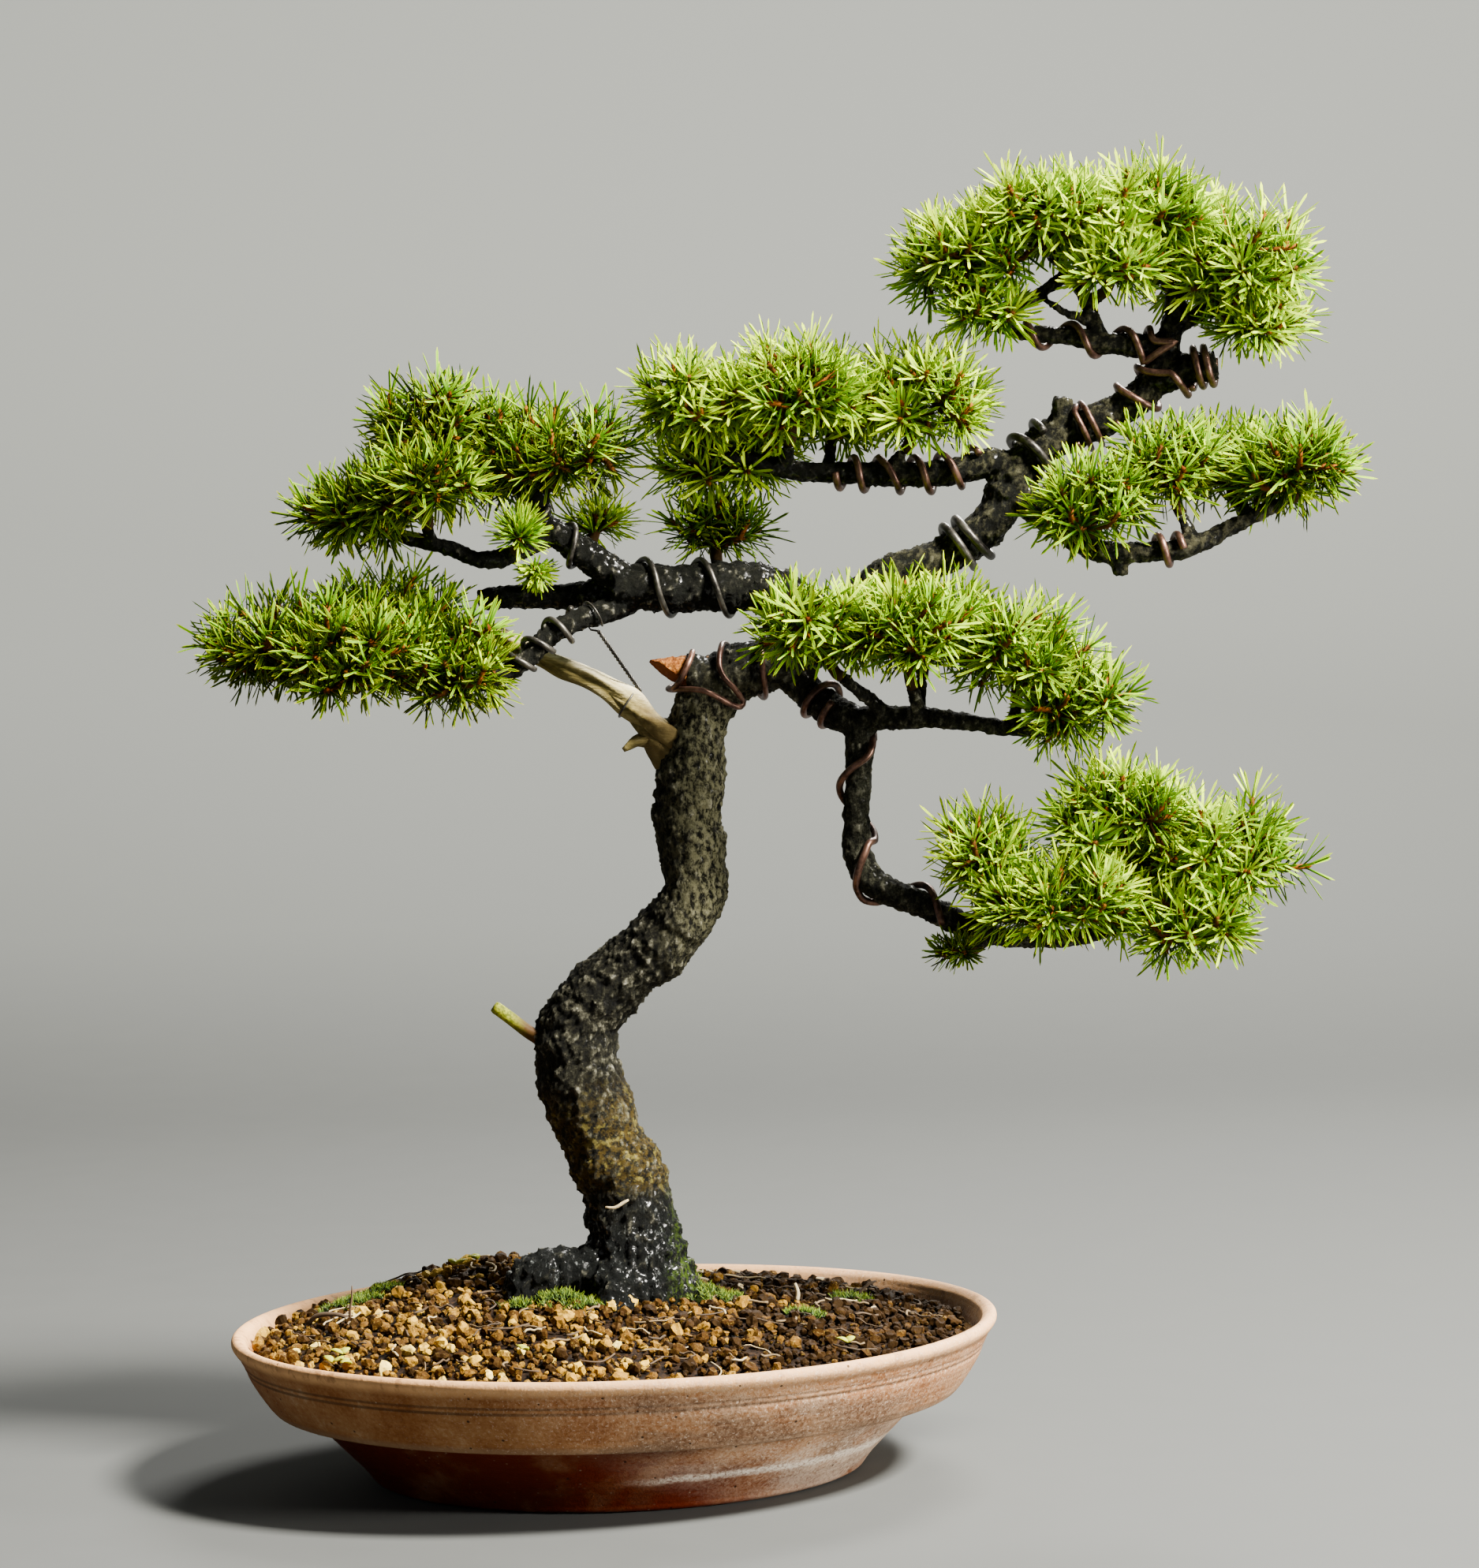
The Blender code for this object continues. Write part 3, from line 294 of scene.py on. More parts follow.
def pieceOf(name, points, faces, finish, stands=(), soft=True):
    mesh = bpy.data.meshes.new(name)
    mesh.from_pydata((np.asarray(points) * mm).tolist(), [], faces)
    mesh.materials.append(finish.material)
    mesh.update()
    if soft:
        mesh.shade_smooth()
    made = bpy.data.objects.new(name, mesh)
    bpy.context.scene.collection.objects.link(made)
    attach(made, "root")
    if stands:
        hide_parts(*stands)
    return made


def store(mesh, name, values):                    # one number for each vertex
    mesh.attributes.new(name, "FLOAT", "POINT").data.foreach_set("value", np.asarray(values, np.float32))


def applied(made):                                # the shape that the modifiers give, as its mesh
    bpy.context.view_layer.update()
    graph = bpy.context.evaluated_depsgraph_get()
    mesh = bpy.data.meshes.new_from_object(made.evaluated_get(graph))
    made.modifiers.clear()
    old = made.data
    made.data = mesh
    bpy.data.meshes.remove(old)
    return mesh


# pot
pot = {
    "steps": 128, "ring": 0.6, "floor": 8.0, "drainX": 35.0, "drainRadius": 6.0, "drainSides": 32,
    "throwing": 0.035, "throwingFrom": 2, "throwingTo": 50, "wobble": 0.35, "droop": 0.25, "droopFrom": 46,
    "sharpAngle": 50,
    "outside": [
        (133.6, 50.2), (134.6, 52.6), (136.4, 54.0), (138.4, 54.3), (139.7, 53.2), (139.9, 51.6), (138.9, 49.8),
        (137.4, 48.2), (136.6, 46.6), (136.0, 45.0), (135.3, 44.6), (135.5, 43.7), (134.9, 42.9), (134.2, 42.5),
        (134.5, 41.6), (133.2, 38.9), (130.6, 34.6), (127.6, 30.2), (125.4, 27.6), (124.2, 26.9), (115.4, 26.9),
        (113.6, 26.2), (103.2, 15.4), (94.4, 6.4), (91.6, 3.0), (90.2, 0.7), (88.6, 0.0),
    ],
    "inside": [(86.0, 8.0), (92.0, 10.6), (106.5, 27.0), (115.5, 32.6), (124.0, 35.6), (130.4, 44.0)],
    "clay": [
        (0.30, (0.092, 0.021, 0.0032)), (0.45, (0.200, 0.069, 0.016)),
        (0.58, (0.290, 0.136, 0.050)), (0.72, (0.430, 0.280, 0.165)),
    ],
    "scratch": (0.286, 0.192, 0.118), "lip": (0.68, 0.375, 0.160), "grime": (0.170, 0.074, 0.026),
    "incised": (0.016, 0.0068, 0.0028), "edge": (0.224, 0.146, 0.087), "stain": (0.048, 0.020, 0.010),
    # wet is painted shade under the ledge, with a wet gloss; dry is painted light on the lit right side
    "wet": (0.094, 0.0078, 0.0008), "dry": (0.381, 0.254, 0.162), "bloom": (0.66, 0.53, 0.41),
    "tide": (0.86, 0.76, 0.64), "speck": (0.72, 0.58, 0.45), "chalk": (0.394, 0.298, 0.202),
    "pits": (0.0082, 0.0037, 0.0022),
}


def stonewareFinish():                            # its marks are placed in millimetres on the pot
    clay = Finish("stoneware", Specular_IOR_Level=0.15, Specular_Tint=(1.0, 0.86, 0.70))
    across, depth, height = clay.spot("X"), clay.spot("Y"), clay.spot("Z")
    patches = clay.cloud(26, 5, 0.6)
    fine = clay.cloud(1.6, 5, 0.7)
    dust = clay.cloud(1.3, 6, 0.8)
    rings = clay.cloud(3.2, 4, 0.6, stretch=(0.06, 0.06, 1.6))
    scratch = clay.between(clay.cloud(1.7, 5, 0.7, stretch=(0.05, 0.05, 1.5)), 0.56, 0.68)
    lip = clay.between(height, 47.5, 51.5)
    grime = clay.between(clay.cloud(5.0, 5, 0.7, stretch=(1.0, 1.0, 0.6)), 0.52, 0.66)
    incised = clay.band(height, 43.9, 44.3, 44.9, 45.3) + clay.band(height, 41.8, 42.2, 42.9, 43.3)
    stain = clay.between(clay.cloud(30, 5, 0.6, stretch=(0.6, 0.6, 1.8)), 0.46, 0.62)
    # lit_side: the right of the pot, reaching further down the foot, where the light falls; the bloom is laid
    # only there
    lit_side = clay.between(across - 0.35 * depth + 1.5 * (height - 16), 30, 110)
    below = 1 - clay.between(height, 26.2, 26.9)
    # wet: under the ledge and away from the lit side, the clay is made near black as painted shade under the
    # overhang; its lower roughness there is a wet gloss
    wet = below * (1 - lit_side)
    bloom = clay.between(dust * 0.7 + clay.cloud(14, 4, stretch=(0.5, 0.5, 1.0)) * 0.6, 0.56, 0.78)
    tide = clay.band(height + 5 * (patches - 0.5), 10.5, 12.6, 12.8, 15.0) * clay.between(dust, 0.34, 0.60)
    speck = clay.between(clay.cloud(1.1, 4, 0.75), 0.56, 0.66) * clay.between(across - 0.4 * depth, -70, 90)
    chalk = (1 - clay.between(clay.cells(3.2), 0.08, 0.15)) * clay.between(clay.cloud(15, 2), 0.47, 0.60)
    pits = 1 - clay.between(clay.cells(6.8), 0.05, 0.10)
    colour = clay.layers(clay.ramp(patches * 0.58 + rings * 0.10 + fine * 0.36, pot["clay"]), pot, {
        "scratch": scratch * 0.10,
        # painted highlight: the rim is made paler, standing in for the light on the lip
        "lip": lip * (0.40 + 0.7 * clay.cloud(6, 5, 0.65)),
        "grime": lip * grime * 0.55,
        # the incised lines are darkened: painted shade in the grooves
        "incised": incised * (0.30 + 0.5 * rings),
        # edge: a paler band along the ledge's corner, a painted highlight
        "edge": clay.band(height, 26.6, 27.4, 28.2, 30.5) * 0.55,
        "stain": stain * clay.between(across, -45, 10) * (1 - lip) * 0.74,
        # painted shade under the ledge, away from the lit side
        "wet": wet * (0.96 - 0.28 * clay.between(patches, 0.50, 0.64)),
        # dry: the lit side made paler, as painted light
        "dry": lit_side * (0.08 + 0.46 * clay.between(fine + 0.3 * patches, 0.50, 0.80)),
        "bloom": lit_side * bloom * (1 - clay.between(height, 16.0, 27.0)) * 0.80,
        "tide": tide * clay.band(across, 0, 28, 88, 108) * below * 0.85,
        # pale specks, faded out towards the shaded left and under the painted shade: partly real specks, partly
        # painted light on the right
        "speck": speck * 0.48 * (1 - wet),
        "chalk": chalk * 0.55,
        # pits: dark spots, painted shade in the pits
        "pits": pits * 0.85,
    })
    relief = fine + rings * 0.10 + scratch * 0.10 - pits * 0.8 + 0.25 * patches
    return clay.finishWith(colour, 0.66 + 0.22 * fine - 0.34 * wet, relief, 0.36, 0.9)


def potProfile():                                 # radius and height from the middle of the floor out and down
    profile = np.array([(0.0, pot["floor"])] + pot["inside"] + pot["outside"] + [(0.0, 0.0)])
    run = np.concatenate([[0], np.cumsum(np.linalg.norm(np.diff(profile, axis=0), axis=1))])
    first = len(pot["inside"]) + 1
    outside = np.arange(run[first - 1] + pot["ring"], run[-2], pot["ring"])
    wanted = np.concatenate([run[:first], outside, run[-2:]])
    fine = np.stack([np.interp(wanted, run, profile[:, k]) for k in range(2)], axis=1)
    fine[first:-2] = (fine[first - 1 : -3] + 2 * fine[first:-2] + fine[first + 1 : -1]) / 4   # softer corners
    return fine


def drainCutter(x):                               # a rod through the floor, to cut a drain hole
    points, faces = tube([(x, 0, -2, pot["drainRadius"]), (x, 0, 12, pot["drainRadius"])], pot["drainSides"])
    mesh = bpy.data.meshes.new("drain_cutter")
    mesh.from_pydata((points * mm).tolist(), [], faces)
    cutter = bpy.data.objects.new("drain_cutter", mesh)
    bpy.context.scene.collection.objects.link(cutter)
    return cutter


def makePot():
    fine = potProfile()
    steps = pot["steps"]
    angles = np.arange(steps) * 2 * np.pi / steps
    points, faces = [[0.0, 0.0, pot["floor"]]], []
    for radius, height in fine[1:-1]:
        ripple = np.sin(2.6 * height + 1.5 * np.sin(angles)) + 0.6 * np.sin(5.9 * height + angles)
        thrown = pot["throwing"] * ripple if pot["throwingFrom"] < height < pot["throwingTo"] else 0.0
        swell = pot["wobble"] * np.sin(2 * angles + 0.7) * radius / 140 if height > pot["throwingFrom"] else 0.0
        droop = pot["droop"] * np.sin(3 * angles + 1.0) if height > pot["droopFrom"] else 0.0
        radii = radius + thrown + swell
        around = [radii * np.cos(angles), radii * np.sin(angles), height + droop + 0 * angles]
        points.extend(np.stack(around, axis=1))
    points.append([0.0, 0.0, 0.0])
    rings = len(fine) - 2
    for j in range(steps):
        k = (j + 1) % steps
        faces.append([0, 1 + j, 1 + k])
        for i in range(rings - 1):
            upper, lower = 1 + i * steps, 1 + (i + 1) * steps
            faces.append([upper + j, lower + j, lower + k, upper + k])
        faces.append([1 + (rings - 1) * steps + j, len(points) - 1, 1 + (rings - 1) * steps + k])
    made = pieceOf("pot_turned", points, faces, stonewareFinish(), ["pot"])
    cutters = [drainCutter(side * pot["drainX"]) for side in (-1, 1)]
    for cutter in cutters:
        step = made.modifiers.new("Drain", "BOOLEAN")
        step.operation = "DIFFERENCE"
        step.solver = "EXACT"
        step.object = cutter
    mesh = applied(made)
    for cutter in cutters:
        bpy.data.objects.remove(cutter)
    mesh.shade_smooth()
    mesh.set_sharp_from_angle(angle=math.radians(pot["sharpAngle"]))
    print("pot:", len(mesh.polygons), "faces")


# soil
soil = {
    "rim": 48.6, "rise": 14.0, "tilt": -1.8, "reach": 131.0, "heap": (-54.0, 60.0, 50.0, 11.0),
    "bigGrains": 1500, "bigSize": (1.35, 2.95), "smallGrains": 2200, "smallSize": (0.7, 1.5),
    "margin": 1.0, "trunkX": 8, "trunkClear": 20, "tries": 14, "cell": 6.0, "forms": 14,
    "segments": 120, "rings": 38, "edge": 131.6, "below": 1.2,
    "wall": [(84.0, 9.8), (91.2, 11.6), (105.8, 27.6), (115.0, 33.2), (123.4, 36.2)],
    "bed": [(0.35, (0.0025, 0.0014, 0.0007)), (0.52, (0.010, 0.0046, 0.0018)), (0.70, (0.039, 0.018, 0.0055))],
    "ochre": [
        (0.0, (0.0070, 0.0027, 0.0006)), (0.28, (0.034, 0.0135, 0.0022)), (0.50, (0.120, 0.055, 0.0066)),
        (0.72, (0.290, 0.152, 0.0125)), (0.90, (0.560, 0.345, 0.036)), (1.0, (0.740, 0.560, 0.140)),
    ],
    "dark": [
        (0.0, (0.0048, 0.0018, 0.0004)), (0.40, (0.021, 0.0082, 0.0012)), (0.72, (0.094, 0.041, 0.0044)),
        (1.0, (0.307, 0.167, 0.025)),
    ],
    "shade": (0.016, 0.0067, 0.0018), "glow": (0.800, 0.560, 0.100),
}


def soilHeight(x, y):
    reach = min(1.0, math.hypot(x, y) / soil["reach"])
    cx, cy, width, rise = soil["heap"]
    heap = rise * math.exp(-((x - cx) ** 2 + (y - cy) ** 2) / width**2) * (1 - reach**4)
    return soil["rim"] + soil["rise"] * (1 - reach**2) ** 0.9 + heap + soil["tilt"] * x / soil["reach"]


def wallAt(height):                               # radius of the pot's inside at a height
    inside = pot["inside"] + [pot["outside"][0]]
    return float(np.interp(height, [p[1] for p in inside], [p[0] for p in inside]))


def grainFinish(name, stops, rough):
    grain = Finish(name, Specular_IOR_Level=0.10, Specular_Tint=(1.0, 0.70, 0.32))
    own = grain.own("grain")
    fine = grain.cloud(0.9, 4, 0.7)
    mottle = grain.cloud(2.4, 3, 0.6)
    colour = grain.ramp(own, stops)
    shaded = grain.mix(colour, soil["shade"], 0.85)
    colour = grain.mix(colour, shaded, grain.between(mottle, 0.48, 0.66) * 0.85)
    colour = grain.mix(colour, soil["glow"], grain.between(fine, 0.55, 0.68) * own * 0.55)
    return grain.finishWith(colour, rough + 0.15 * fine, fine + 0.5 * mottle, 0.25, 0.9)


def pebble(detail, seed):                         # one rough grain of radius 1
    shape = bmesh.new()
    bmesh.ops.create_icosphere(shape, subdivisions=detail, radius=1.0)
    chance = random.Random(seed)
    off = Vector((chance.uniform(0, 50), chance.uniform(0, 50), chance.uniform(0, 50)))
    stretch = Vector((chance.uniform(0.8, 1.15), chance.uniform(0.8, 1.15), chance.uniform(0.7, 1.0)))
    points = []
    for vert in shape.verts:
        swell = 1 + 0.50 * noise.noise(vert.co * 1.3 + off) + 0.26 * noise.noise(vert.co * 3.1 + off)
        points.append([vert.co[k] * swell * stretch[k] for k in range(3)])
    faces = [[vert.index for vert in face.verts] for face in shape.faces]
    shape.free()
    return np.array(points), np.array(faces)


def scatter(count, size, seed, taken, spare):     # grain centres in the pot, none too near another
    chance = random.Random(seed)
    cell = soil["cell"]
    found = []
    for _ in range(count * soil["tries"]):
        if len(found) == count:
            break
        radius = size[0] + (size[1] - size[0]) * chance.random() ** 1.5
        reach = 134 * math.sqrt(chance.random())
        angle = chance.uniform(0, 2 * math.pi)
        x, y = reach * math.cos(angle), reach * math.sin(angle)
        z = soilHeight(x, y)
        atWall = reach > wallAt(z + radius) - radius - soil["margin"]
        if atWall or math.hypot(x - soil["trunkX"], y) < soil["trunkClear"]:
            continue
        i, j = int(x // cell), int(y // cell)
        near = [other for di in (-1, 0, 1) for dj in (-1, 0, 1) for other in taken.get((i + di, j + dj), ())]
        if any(math.hypot(x - ox, y - oy) < (radius + other) * spare for ox, oy, other in near):
            continue
        taken.setdefault((i, j), []).append((x, y, radius))
        found.append((x, y, z, radius))
    return found


def grainPiece(name, places, detail, lift, finish, seed):
    chance = random.Random(seed)
    forms = [pebble(detail, seed + k) for k in range(soil["forms"])]
    points, faces, tints, start = [], [], [], 0
    for x, y, z, radius in places:
        some, those = forms[chance.randrange(len(forms))]
        turn = chance.uniform(0, anyTurn)
        axis = Vector((chance.uniform(-1, 1), chance.uniform(-1, 1), 1.0)).normalized()
        centre = np.array([x, y, z + radius * (lift + chance.uniform(-0.45, 0.45))])
        points.append(some @ np.array(Matrix.Rotation(turn, 3, axis)).T * radius + centre)
        faces.append(those + start)
        start += len(some)
        # grains darker towards the right and the back: partly wetter soil, partly painted shadow of the pads
        wetter_and_shaded = 0.58 * min(1.0, max(0.0, (x - 8) / 70)) + 0.20 * max(0.0, y / 110)
        patch = 0.34 * noise.noise(Vector((x, y, 0)) / 18) - wetter_and_shaded
        tints.extend([min(0.99, max(0.01, chance.betavariate(1.25, 1.45) + patch))] * len(some))
    made = pieceOf(name, np.vstack(points), np.vstack(faces).tolist(), finish, soft=False)
    store(made.data, "grain", tints)


def makeSoil():
    segments, rings, bottom = soil["segments"], soil["rings"], soil["wall"][0][1]
    angles = np.arange(segments) * 2 * np.pi / segments
    points, faces = [[0.0, 0.0, bottom]], []
    for radius, height in soil["wall"]:
        points.extend([[radius * math.cos(a), radius * math.sin(a), height] for a in angles])
    for i in range(rings):
        radius = soil["edge"] * (1 - i / rings)
        for a in angles:
            x, y = radius * math.cos(a), radius * math.sin(a)
            rough = 1.3 * noise.noise(Vector((x, y, 0)) / 5.5) + 0.8 * noise.noise(Vector((x, y, 9)) / 2.6)
            points.append([x, y, soilHeight(x, y) - soil["below"] + (rough if i else -1.0)])
    points.append([0.0, 0.0, soilHeight(0, 0) - soil["below"]])
    total = len(soil["wall"]) + rings
    for j in range(segments):
        k = (j + 1) % segments
        faces.append([0, 1 + k, 1 + j])
        for i in range(total - 1):
            near, far = 1 + i * segments, 1 + (i + 1) * segments
            faces.append([near + j, near + k, far + k, far + j])
        faces.append([1 + (total - 1) * segments + j, 1 + (total - 1) * segments + k, len(points) - 1])
    # the bed under the grains is near black: painted shade in the gaps between the grains
    earth = Finish("soil_bed", Specular_IOR_Level=0.1)
    fine = earth.cloud(1.8, 5, 0.7)
    earth.finishWith(earth.ramp(fine, soil["bed"]), 0.85 + 0.1 * fine, fine, 0.8)
    pieceOf("soil_bed", points, faces, earth, ["soil"])
    taken = {}
    big = scatter(soil["bigGrains"], soil["bigSize"], 3, taken, 0.84)
    small = scatter(soil["smallGrains"], soil["smallSize"], 4, taken, 0.74)
    grainPiece("soil_grains", big, 2, 0.25, grainFinish("ochre_grains", soil["ochre"], 0.62), 20)
    grainPiece("soil_small_grains", small, 1, 0.0, grainFinish("dark_grains", soil["dark"], 0.68), 60)
    print("soil:", len(big), "large grains,", len(small), "small grains")


# wood
trunk = [
    (8, 0, 38, 23), (8, 0, 52, 24), (8, 0, 69, 20.5), (7.5, 0, 91, 16.2), (5.6, 0, 104.5, 16.4),
    (-1.7, 1, 118.6, 15), (-7.8, 2, 137, 16.2), (-11.6, 2, 154, 15.4), (-8, 1, 166, 14.2),
    (4.5, 0, 179, 12.8), (21.6, -1, 192, 12.6), (32.3, -2, 205.5, 11.8), (34.5, -1, 219, 12.2),
    (32.8, 0, 238, 12.8), (34, 1, 251.5, 12.6), (36, 2, 265, 11.4), (38.6, 3, 275.5, 11.2),
    (45.8, 4, 286.5, 10.6), (57, 4, 291, 9.8), (71, 3, 294, 9.2), (86, 1, 304, 8.4),
    (96, 0, 314, 7.4), (110, -1, 324, 7), (129, -1, 330, 6.8), (145, 0, 340, 7.4),
    (154, 1, 354, 7.8), (165, 2, 368.5, 7.4), (179, 2, 374, 6.8), (190.5, 2, 378.6, 6.8),
    (202, 1, 385, 6.4), (209, 0, 394, 5.6), (213, 0, 407, 4.6), (216, 0, 418, 4),
    (212, -2, 430, 3.2), (205, -2, 440, 2.6),
]
branches = {
    "root_left": [
        (2, -4, 72, 12), (-13, -8, 73, 10), (-25, -10, 73.5, 9), (-32, -11, 68, 8), (-34, -12, 51, 6.6),
    ],
    "root_front": [(4, -8, 76, 9), (1, -19, 66, 8.4), (-1, -25, 50, 7)],
    "root_right": [(15, -3, 78, 9), (23, -6, 66, 8.4), (28, -8, 50, 7)],
    "root_back": [(14, 8, 76, 9), (21, 18, 65, 8), (25, 24, 50, 6.6)],
    "root_back_left": [(0, 8, 76, 9), (-9, 18, 66, 8), (-14, 25, 50, 6.6)],
    "cut_stub": [(46, 3, 287, 7), (34, 0, 290.5, 6.4), (23, -2, 294, 5.8)],
    "green_stub": [(-16, 0, 155, 3), (-27, -3, 160.5, 2.5), (-40, -5, 171, 2.3)],
    "jin": [
        (34, 1, 262, 5.4), (23, -1, 269.5, 5), (13, -1, 279.5, 4.6), (1, 0, 288, 4),
        (-11.5, 2, 294, 3.5), (-25, 4, 301, 3.3), (-40, 6, 310, 3),
    ],
    "jin_spur": [(26, -1, 267, 4.4), (16, -3, 266, 2.6), (10, -4, 263, 1.3)],
    "left_branch": [
        (84, 1, 308, 8.4), (68, 0, 318, 9), (52, -2, 321, 9), (35, -3, 321, 8.8), (19, -4, 322, 8.6),
        (8.5, -5, 324, 8),
    ],
    "upper_left": [
        (14, -5, 323, 6.4), (-1, -6, 334, 5.6), (-9, -8, 340, 4.8), (-17, -8, 347, 4.6),
        (-18, -8, 355, 4), (-28, -5, 361, 3.4), (-42, -2, 366, 2.9), (-54, 0, 372, 2.4),
    ],
    "upper_fork": [
        (-14, -8, 341, 3.8), (-25, -10, 336.5, 3.6), (-32, -12, 334, 3.4), (-41, -12, 334, 3.2),
        (-50, -10, 338, 3), (-64, -8, 342, 2.6), (-76, -6, 345, 2.3),
    ],
    "back_stub": [(6, 0, 321, 6), (-8, 1, 319.5, 5), (-26, 2, 320, 4.6), (-41, 4, 319, 4.2)],
    "lower_left": [
        (14, -4, 318, 6), (4, -8, 313, 4.8), (-4, -11, 311, 4.2), (-14.5, -14, 306, 4),
        (-23, -17, 298, 3.8), (-32, -19, 292, 3.6), (-48, -20, 289, 3.2), (-70, -20, 290, 2.9),
        (-92, -20, 292, 2.6), (-108, -20, 295, 2.3),
    ],
    "centre_branch": [
        (158, 1, 360, 6), (147, 0, 363, 5.4), (131, -2, 360, 5), (112, -4, 359.5, 4.6),
        (95, -4, 361, 4.2), (73.5, -4, 363, 3.6), (54, -4, 368.5, 3), (40, -4, 372, 2.4),
    ],
    "right_lower": [
        (68, 3, 293, 7), (77, -1, 283, 6), (85, -7, 275.5, 6), (95, -12, 271, 6), (96, -13, 262, 5.6),
        (95, -14, 249, 5.2), (94, -15, 235, 5), (94, -16, 222, 5.2), (100, -18, 212, 5.4),
        (112, -20, 206.5, 5.2), (123, -22, 201, 4.8), (137, -24, 194, 4.2), (156, -25, 191, 3.6),
        (177.5, -26, 192, 3), (196, -26, 197, 2.5),
    ],
    "right_ledge": [
        (92, -11, 272, 5), (109.5, -20, 272, 4.2), (128, -26, 271, 3.6), (145, -28, 268, 3),
        (160, -29, 266, 2.4),
    ],
    "right_branch": [
        (154, 1, 352, 6), (166, -8, 343, 5), (178, -15, 333, 4.4), (188, -19, 329, 4.2),
        (199, -20, 329, 4), (216, -20, 330, 3.8), (232, -18, 337, 3.2), (248, -16, 344, 2.6),
    ],
    "right_nub": [(190, -19, 330, 3.4), (191, -19, 325, 3.2), (192, -19, 320.5, 2.6)],
    "knot_nub": [(171, 2, 370, 5), (173, 0, 379, 4.2), (174, -1, 386, 3.6)],
    "crown_stub": [(206, 0, 390, 6), (217, -2, 394.5, 5.8), (230, -4, 396, 5.4)],
    "crown_left": [
        (212, 0, 402, 4.6), (199, -1, 404, 4.4), (190, -1, 405, 4), (176, -2, 408, 3.4),
        (160, -2, 410, 3), (148, -3, 414, 2.6), (140, -2, 422, 2.2),
    ],
    "crown_inner": [(189, -1, 405, 3), (185, 0, 416, 2.8), (180, 2, 428, 2.4), (172, 4, 438, 2.1)],
    "crown_right": [(215, 0, 411, 3.8), (225, -2, 415, 3.2), (236, -3, 418, 2.6)],
}
wood = {
    "trunkStep": 13.0, "branchStep": 17.0, "fineStep": 3.0, "collarStep": 2.0, "voxel": 1.12,
    "thickSides": 24, "thinSides": 14, "twigSides": 10, "thinnerThan": 8,
    "flakes": 2.2, "flakeDepth": 0.85, "rough": 2.7, "roughDepth": 0.85, "lumps": 13.0, "lumpDepth": 0.9,
    "footTop": 114, "footFade": 28, "footRidge": 1.3, "wander": 0.035, "swell": 0.07,
    "collars": [                                  # roots of the cut stub, bare twig and dead branch
        [(46, 3, 287, 7.6), (38, 1, 289.5, 7.4), (33.5, 0, 291, 6.6)],
        [(185, -1, 413, 2.0), (176, -3, 416.5, 1.6), (167.5, -4, 422, 1.3)],
        [(33, 1, 262, 7), (24, 0, 268, 6.2), (19, -0.5, 272, 4.6)],
    ],
    "grey": [
        (0.42, (0.0007, 0.0008, 0.0005)), (0.55, (0.0034, 0.0034, 0.0018)), (0.65, (0.017, 0.0162, 0.0090)),
        (0.75, (0.098, 0.094, 0.064)), (0.85, (0.330, 0.315, 0.240)), (0.97, (0.60, 0.58, 0.48)),
    ],
    "lit": (0.300, 0.285, 0.150), "wet": (0.0014, 0.0020, 0.0016), "glint": (0.380, 0.410, 0.395),
    "algae": (0.042, 0.075, 0.003), "lichen": (0.086, 0.055, 0.0060), "greener": (0.25, 0.205, 0.040),
    # high is painted shade on the wood among the pads; drop is painted shade on the hanging branch under pad e
    "high": (0.0024, 0.0028, 0.0013), "sunny": (0.085, 0.080, 0.038), "drop": (0.062, 0.066, 0.040),
}
ownPieces = ["cut_stub", "green_stub", "jin", "jin_spur"]


def woodLines():
    lines = {"trunk": smooth(trunk, wood["trunkStep"])}
    for name, points in branches.items():
        lines[name] = smooth(points, wood["branchStep"])
    return lines


